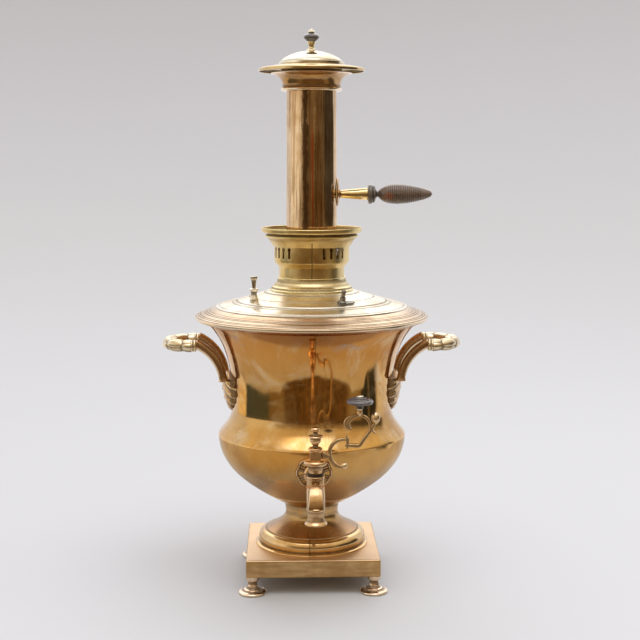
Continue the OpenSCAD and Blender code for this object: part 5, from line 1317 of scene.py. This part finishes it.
def room_light():
    """The room that the brass mirrors: a pale sweep behind, a light ceiling with a lamp, a bright wall to the
    near left, and a dim room in front, darkest to the right. turn is the azimuth from -Y towards +X, and rise
    the elevation, both in degrees."""
    world = bpy.data.worlds.new("room_light")
    world.use_nodes = True
    bpy.context.scene.world = world
    sh = Shader(world.node_tree)
    way = sh.node("TexCoord", out=0)
    x, y, z = sh.parts(way)
    turn = x.maths("ARCTAN2", y * -1) * math.degrees(1)
    rise = z.maths("ARCSINE") * math.degrees(1)
    shapes = sh.noise(sh.scaled(way, 1, 1, 1.6), 0.30, 2.0, 0.45, 0.6)
    colour = sh.mix(shapes.smooth(0.43, 0.56), (0.030, 0.025, 0.014), (0.19, 0.15, 0.09))
    right = turn.smooth(10, 24) * rise.smooth(-8, -3) * rise.smooth(10, 18, 1, 0)
    colour = sh.mix(right * 0.9, colour, (0.058, 0.048, 0.036))
    lit = turn.smooth(-46, -36, 1, 0) * rise.smooth(-7, -2)
    colour = sh.mix(lit, colour, (1.02, 0.97, 0.86))
    centre = turn.smooth(-46, -36) * turn.smooth(16, 26, 1, 0) * rise.smooth(-7, 0)
    colour = sh.mix(centre * 0.8, colour, (0.24, 0.19, 0.12))
    ragged = turn / 360 + 0.5 + 0.022 * (sh.noise(sh.scaled(way, 1, 1, 2.2), 0.22, 3.0, 0.6) - 0.5)
    stops = [(-134, (0.70, 0.60, 0.42)), (-128, (0.95, 0.80, 0.52)), (-111, (1.0, 0.84, 0.54)),
             (-107, (0.075, 0.095, 0.10)), (-68, (0.10, 0.11, 0.09)), (-62, (0.24, 0.17, 0.09)),
             (-44, (0.28, 0.20, 0.10)), (-40, (0.12, 0.07, 0.03)), (-20, (0.10, 0.056, 0.02)),
             (0, (0.15, 0.085, 0.03)), (20, (0.10, 0.056, 0.02)), (48, (0.11, 0.06, 0.022)),
             (54, (0.32, 0.24, 0.13)), (72, (0.34, 0.25, 0.13)), (76, (0.03, 0.036, 0.034)),
             (86, (0.04, 0.045, 0.042)), (88, (0.30, 0.25, 0.18)), (90, (0.04, 0.045, 0.04)),
             (103, (0.05, 0.05, 0.045)), (106, (0.45, 0.38, 0.27))]
    low = sh.node("ValToRGB", {"stops": [((at + 180) / 360, tone) for at, tone in stops]}, {0: ragged})
    streaks = sh.noise(sh.scaled(way, 1, 1, 0.12), 0.055, 4.0, 0.6).smooth(0.54, 0.68)
    blocks = sh.noise(sh.scaled(way, 1, 1, 1.7), 0.085, 3.0, 0.6, 0.5).smooth(0.5, 0.58)
    front = abs(turn).smooth(46, 66, 1, 0)
    low = sh.mix(streaks * front * 0.5, low, (0.36, 0.19, 0.07))
    low = sh.mix(blocks * front * 0.45, low, (0.26, 0.16, 0.07))
    below = (rise + 9 * (shapes - 0.5) - 7 * front).smooth(-9, -1, 1, 0)
    colour = sh.mix(front * rise.smooth(-8, 16), colour, (0.36, 0.26, 0.14))
    colour = sh.mix(below, colour, low)
    ceiling = rise.smooth(10, 38)
    colour = sh.mix(ceiling, colour, (0.86, 0.74, 0.52))
    lamp = z.smooth(0.74, 0.88) * x.smooth(-0.54, -0.16)
    lamp = lamp * x.smooth(0.24, 0.40, 1, 0) * y.smooth(-0.1, 0.1, 1, 0)
    colour = sh.mix(rise.smooth(44, 66), colour, (1.10, 1.04, 0.96))
    glow = rise.smooth(46, 62) * abs(turn + 12).smooth(18, 56, 1, 0) * (y < 0.0)
    colour = sh.mix(glow, colour, (2.0, 1.85, 1.45))
    colour = sh.mix(lamp, colour, (2.3, 2.4, 2.5))
    edge = abs(turn) - 26 * ((turn < 0) * rise.smooth(-8, -3, 1, 0)) - 11 * ((turn > 0) * rise.smooth(-6, -2))
    colour = sh.mix(edge.smooth(101, 110), colour, (0.86, 0.86, 0.88))
    above = rise.smooth(8, 36) * y.smooth(0.2, 0.6) * abs(x).smooth(0.3, 0.6, 1, 0)
    colour = sh.mix(above, colour, (2.05, 2.0, 1.92))
    light = sh.node("Background", None, {"Color": colour, "Strength": 1.0})
    sh.node("OutputWorld", None, {"Surface": light})


def softbox(name, place, aim, width, height, watts):
    """A soft rectangular lamp at a place, turned to what it aims at."""
    data = bpy.data.lights.new(name, "AREA")
    data.shape, data.size, data.size_y, data.energy = "RECTANGLE", width, height, watts
    lamp = bpy.data.objects.new(name, data)
    bpy.context.scene.collection.objects.link(lamp)
    lamp.location = place
    way = np.asarray(aim, float) - np.asarray(place, float)
    lamp.rotation_euler = Vector(way).to_track_quat("-Z", "Y").to_euler()
    return lamp


def paper(name, near, far):
    """Matt pale paper that goes from one tone to the other with height."""
    made, sh = material(name)
    z = sh.parts(sh.place())[2]
    sh.surface(Base_Color=sh.mix(z.smooth(60, 700), near, far), Roughness=0.9, Specular_IOR_Level=0.1)
    return made


def table_paper():
    """The table top, whose edge lies at a distance that changes with the azimuth, and nearest in front."""
    made, sh = material("table_paper")
    at = sh.place()
    x, y, _ = sh.parts(at)
    turn = x.maths("ARCTAN2", y * -1) * math.degrees(1)
    stops = [(-112, 0.70), (-108, 0.74), (-66, 0.74), (-60, 0.70), (-45, 0.66), (-41, 0.60), (-33, 0.545),
             (-20, 0.49), (5, 0.46), (28, 0.49), (42, 0.55), (50, 0.61), (53, 0.70), (74, 0.72), (77, 0.53),
             (105, 0.52), (110, 0.70)]
    edge = sh.node("ValToRGB", {"stops": [((a + 180) / 360, (r, r, r)) for a, r in stops]},
                   {0: turn / 360 + 0.5}) * (1 / MM)
    far = (x * x + y * y) ** 0.5 + 70 * (sh.noise(at, 120, 4.0, 0.6) - 0.5)
    fade = (far - edge).smooth(-24, 30, 1, 0)
    sh.surface(Base_Color=(0.46, 0.45, 0.44), Roughness=0.9, Specular_IOR_Level=0.1, Alpha=fade)
    return made


def stage_piece(name, mesh, material, camera):
    """A piece of the stage, seen either by the camera alone or only in the brass."""
    mesh.materials.append(material)
    made = bpy.data.objects.new(name, mesh)
    bpy.context.scene.collection.objects.link(made)
    made.visible_camera = camera
    made.visible_diffuse = made.visible_glossy = made.visible_transmission = not camera
    made.visible_shadow = False


def build_stage():
    """Sweep, table, the room's light, a lamp and the camera."""
    scene = bpy.context.scene
    a = circle(128)
    floor_r = sizes().floor_radius / MM
    rows = joined([[0, 0], [400, 0], [1200, 0]], arc([floor_r, 6000], 6000, -90, -42, 40), [[12000, 6600]])
    grid = np.stack([rows[:, :1] * np.cos(a), rows[:, :1] * np.sin(a), rows[:, 1:] + 0 * a], -1)
    near, far = (0.578, 0.588, 0.642), (0.588, 0.600, 0.685)
    stage_piece("sweep", skin("sweep", grid), paper("sweep_paper", near, far), True)
    r = np.array([0, 300, sizes().table_radius / MM])[:, None]
    grid = np.stack([r * np.cos(a), r * np.sin(a), np.full((3, len(a)), -1.0)], -1)
    stage_piece("table", skin("table", grid), table_paper(), False)
    room_light()
    softbox("top_box", (0.7, -0.3, 2.3), (0, 0, 0.2), 1.5, 1.5, 16).visible_glossy = False
    data = bpy.data.cameras.new("camera")
    data.sensor_width, data.lens = 36.0, sizes().lens
    camera = bpy.data.objects.new("camera", data)
    scene.collection.objects.link(camera)
    camera.location = (-0.0324, -1.3866, 0.4670)
    down, right = math.radians(7.33), math.radians(1.718)
    camera.rotation_euler = Euler((math.pi / 2 - down, 0, -right))
    scene.camera = camera
    scene.view_settings.view_transform = "Standard"


# ---------------------------------------------------------------- settings, operators and panel

def length_setting(name, text, value, least, most):
    return FloatProperty(name=name, description=text, default=value, min=least, max=most, subtype="DISTANCE",
                         unit="LENGTH")


def colour_setting(name, text, value):
    return FloatVectorProperty(name=name, description=text, subtype="COLOR", size=3, min=0, max=1,
                               default=value)


class SamovarSizes(bpy.types.PropertyGroup):
    grip_pitch: length_setting("Grip groove pitch", "Distance between the grip's turned grooves", 0.0021,
                               0.001, 0.004)
    grip_groove: length_setting("Grip groove depth", "Depth of the grip's turned grooves", 0.00042, 0, 0.0008)
    rim_groove: length_setting("Rim groove depth", "Depth of the rim ring's chased lines", 0.00034, 0, 0.0006)
    lid_groove: length_setting("Lid groove depth", "Depth of the lid's chased lines", 0.0003, 0, 0.0006)
    brim_groove: length_setting("Brim groove depth", "Depth of the smoke cap's chased lines", 0.0002, 0,
                                0.0005)
    leaflet_step: length_setting("Leaflet step", "How far one leaflet of the acanthus stands over the next",
                                 0.0017, 0, 0.0025)
    rosette_ridge: length_setting("Rosette ridge", "Height of the rosette's rays and rim", 0.0017, 0, 0.0025)
    spinning_waves: FloatProperty(name="Spinning waves",
                                  description="Strength of the waves of hand-spun sheet", default=1.0,
                                  min=0, max=4, subtype="FACTOR")
    floor_radius: length_setting("Floor radius", "Radius of the floor, where the sweep begins", 2.2, 1, 6)
    table_radius: length_setting("Table radius", "Radius of the table top that the brass mirrors", 0.92,
                                 0.3, 2)
    lens: FloatProperty(name="Lens", description="The camera's focal length on a 36 mm sensor", default=71.29,
                        min=20, max=200, subtype="DISTANCE_CAMERA")


class SamovarColours(bpy.types.PropertyGroup):
    brass: colour_setting("Brass", "Polished sheet of the bowl and wall", (0.74, 0.44, 0.155))
    warm_brass: colour_setting("Warm brass", "The wall's tone near the rim", (0.70, 0.30, 0.06))
    mellow_brass: colour_setting("Mellow brass", "Pedestal", (0.76, 0.52, 0.26))
    neck_brass: colour_setting("Neck brass", "The lid's neck", (0.92, 0.75, 0.43))
    leaf_brass: colour_setting("Leaf brass", "Bends and collars of the side handles", (0.93, 0.80, 0.60))
    cream_brass: colour_setting("Cream brass", "Dome of the smoke cap and small screws", (0.91, 0.82, 0.65))
    pale_brass: colour_setting("Pale brass", "Lid and its post", (0.98, 0.92, 0.80))
    olive_brass: colour_setting("Olive brass", "Crown", (0.87, 0.67, 0.32))
    rosy_brass: colour_setting("Rosy brass", "Rim ring and collar", (0.66, 0.49, 0.34))
    chimney_brass: colour_setting("Chimney brass", "Pipe and its handle's stem", (0.82, 0.60, 0.38))
    tap_brass: colour_setting("Tap brass", "Tap, key and finial", (0.80, 0.54, 0.31))
    branch_brass: colour_setting("Branch brass", "The key's branch", (0.84, 0.58, 0.30))
    arm_brass: colour_setting("Arm brass", "Arms of the side handles", (0.70, 0.47, 0.29))
    leaf_gold: colour_setting("Leaf gold", "Acanthus leaves of the side handles", (0.70, 0.46, 0.24))
    cap_gold: colour_setting("Cap gold", "Brim of the smoke cap", (0.68, 0.51, 0.27))
    collar_brass: colour_setting("Collar brass", "Collar of the pipe", (0.90, 0.57, 0.27))
    satin_brass: colour_setting("Satin brass", "Plinth", (0.68, 0.45, 0.22))
    foot_brass: colour_setting("Foot brass", "The four feet", (0.84, 0.61, 0.45))
    hidden_brass: colour_setting("Hidden brass", "Inner sheet that is never polished", (0.30, 0.21, 0.10))
    tarnish: colour_setting("Tarnish", "Dull patches", (0.33, 0.25, 0.15))
    # Patina is also the colour of the painted shade in creases and beside ridges.
    patina: colour_setting("Patina", "What has settled in the hollows", (0.07, 0.045, 0.02))
    black_wood: colour_setting("Black wood", "Knobs", (0.022, 0.018, 0.026))
    brown_wood: colour_setting("Brown wood", "Grip of the chimney's handle", (0.21, 0.155, 0.135))
    dark_wood: colour_setting("Dark wood", "Ring of the chimney's handle", (0.065, 0.055, 0.055))
    nickel: colour_setting("Nickel", "The lid post's bare screw", (0.70, 0.68, 0.62))
    finial_gold: colour_setting("Finial gold", "Neck of the smoke cap's finial", (0.92, 0.76, 0.48))
    stem_gold: colour_setting("Stem gold", "Ferrule of the chimney's handle", (0.90, 0.72, 0.42))
    steel: colour_setting("Steel", "Nuts, the vent and the tang", (0.40, 0.38, 0.35))
    soot: colour_setting("Sooty steel", "Fire tube", (0.10, 0.095, 0.09))
    iron: colour_setting("Iron", "Grate", (0.07, 0.065, 0.06))
    washer: colour_setting("Dark washer", "Washer under the key", (0.10, 0.075, 0.06))


class SAMOVAR_OT_stage(bpy.types.Operator):
    """Make the floor, the sweep, the room's light and the camera"""
    bl_idname = "samovar.stage"
    bl_label = "Stage"

    def execute(self, context):
        build_stage()
        return {"FINISHED"}


class SAMOVAR_OT_base(bpy.types.Operator):
    """Build the plinth and its four feet"""
    bl_idname = "samovar.base"
    bl_label = "Base"

    def execute(self, context):
        build_base()
        return {"FINISHED"}


class SAMOVAR_OT_body(bpy.types.Operator):
    """Build the pedestal, bowl, wall and rim ring"""
    bl_idname = "samovar.body"
    bl_label = "Body"

    def execute(self, context):
        build_body()
        return {"FINISHED"}


class SAMOVAR_OT_side_handles(bpy.types.Operator):
    """Build both side handles and their leaves"""
    bl_idname = "samovar.side_handles"
    bl_label = "Side handles"

    def execute(self, context):
        build_side_handles()
        return {"FINISHED"}


class SAMOVAR_OT_tap(bpy.types.Operator):
    """Build the rosette, the tap's body and the washer"""
    bl_idname = "samovar.tap"
    bl_label = "Tap"

    def execute(self, context):
        build_tap()
        return {"FINISHED"}


class SAMOVAR_OT_tap_key(bpy.types.Operator):
    """Build the plug, finial, branch and knob"""
    bl_idname = "samovar.tap_key"
    bl_label = "Tap key"

    def execute(self, context):
        build_tap_key()
        return {"FINISHED"}


class SAMOVAR_OT_lid(bpy.types.Operator):
    """Build the lid, its neck, post and vent"""
    bl_idname = "samovar.lid"
    bl_label = "Lid"

    def execute(self, context):
        build_lid()
        return {"FINISHED"}


class SAMOVAR_OT_crown(bpy.types.Operator):
    """Build the slotted band and the dish"""
    bl_idname = "samovar.crown"
    bl_label = "Crown"

    def execute(self, context):
        build_crown()
        return {"FINISHED"}


class SAMOVAR_OT_chimney(bpy.types.Operator):
    """Build the pipe, its foot and collar, and its handle"""
    bl_idname = "samovar.chimney"
    bl_label = "Chimney"

    def execute(self, context):
        build_chimney()
        return {"FINISHED"}


class SAMOVAR_OT_cap(bpy.types.Operator):
    """Build the smoke cap and its finial"""
    bl_idname = "samovar.cap"
    bl_label = "Cap"

    def execute(self, context):
        build_cap()
        return {"FINISHED"}


class SAMOVAR_OT_frame_finish(bpy.types.Operator):
    """Give the frame's own nodes their finish"""
    bl_idname = "samovar.frame_finish"
    bl_label = "Frame finish"

    def execute(self, context):
        dress_frame()
        return {"FINISHED"}


OPERATORS = [SAMOVAR_OT_stage, SAMOVAR_OT_base, SAMOVAR_OT_body, SAMOVAR_OT_side_handles, SAMOVAR_OT_tap,
             SAMOVAR_OT_tap_key, SAMOVAR_OT_lid, SAMOVAR_OT_crown, SAMOVAR_OT_chimney, SAMOVAR_OT_cap,
             SAMOVAR_OT_frame_finish]


class SAMOVAR_PT_panel(bpy.types.Panel):
    """Lists the samovar's pieces and their settings"""
    bl_label = "Samovar"
    bl_idname = "SAMOVAR_PT_panel"
    bl_space_type = "VIEW_3D"
    bl_region_type = "UI"
    bl_category = "Samovar"

    def draw(self, context):
        for made in OPERATORS:
            self.layout.operator(made.bl_idname)
        for group in (context.scene.samovar_sizes, context.scene.samovar_colours):
            box = self.layout.box()
            for name in group.__annotations__:
                box.prop(group, name)


CLASSES = [SamovarSizes, SamovarColours, *OPERATORS, SAMOVAR_PT_panel]


def register():
    for made in CLASSES:
        bpy.utils.register_class(made)
    bpy.types.Scene.samovar_sizes = PointerProperty(type=SamovarSizes)
    bpy.types.Scene.samovar_colours = PointerProperty(type=SamovarColours)


def unregister():
    del bpy.types.Scene.samovar_sizes, bpy.types.Scene.samovar_colours
    for made in reversed(CLASSES):
        bpy.utils.unregister_class(made)


def main():
    register()
    for made in OPERATORS:
        getattr(bpy.ops.samovar, made.bl_idname.split(".")[1])()


if __name__ == "__main__":
    main()
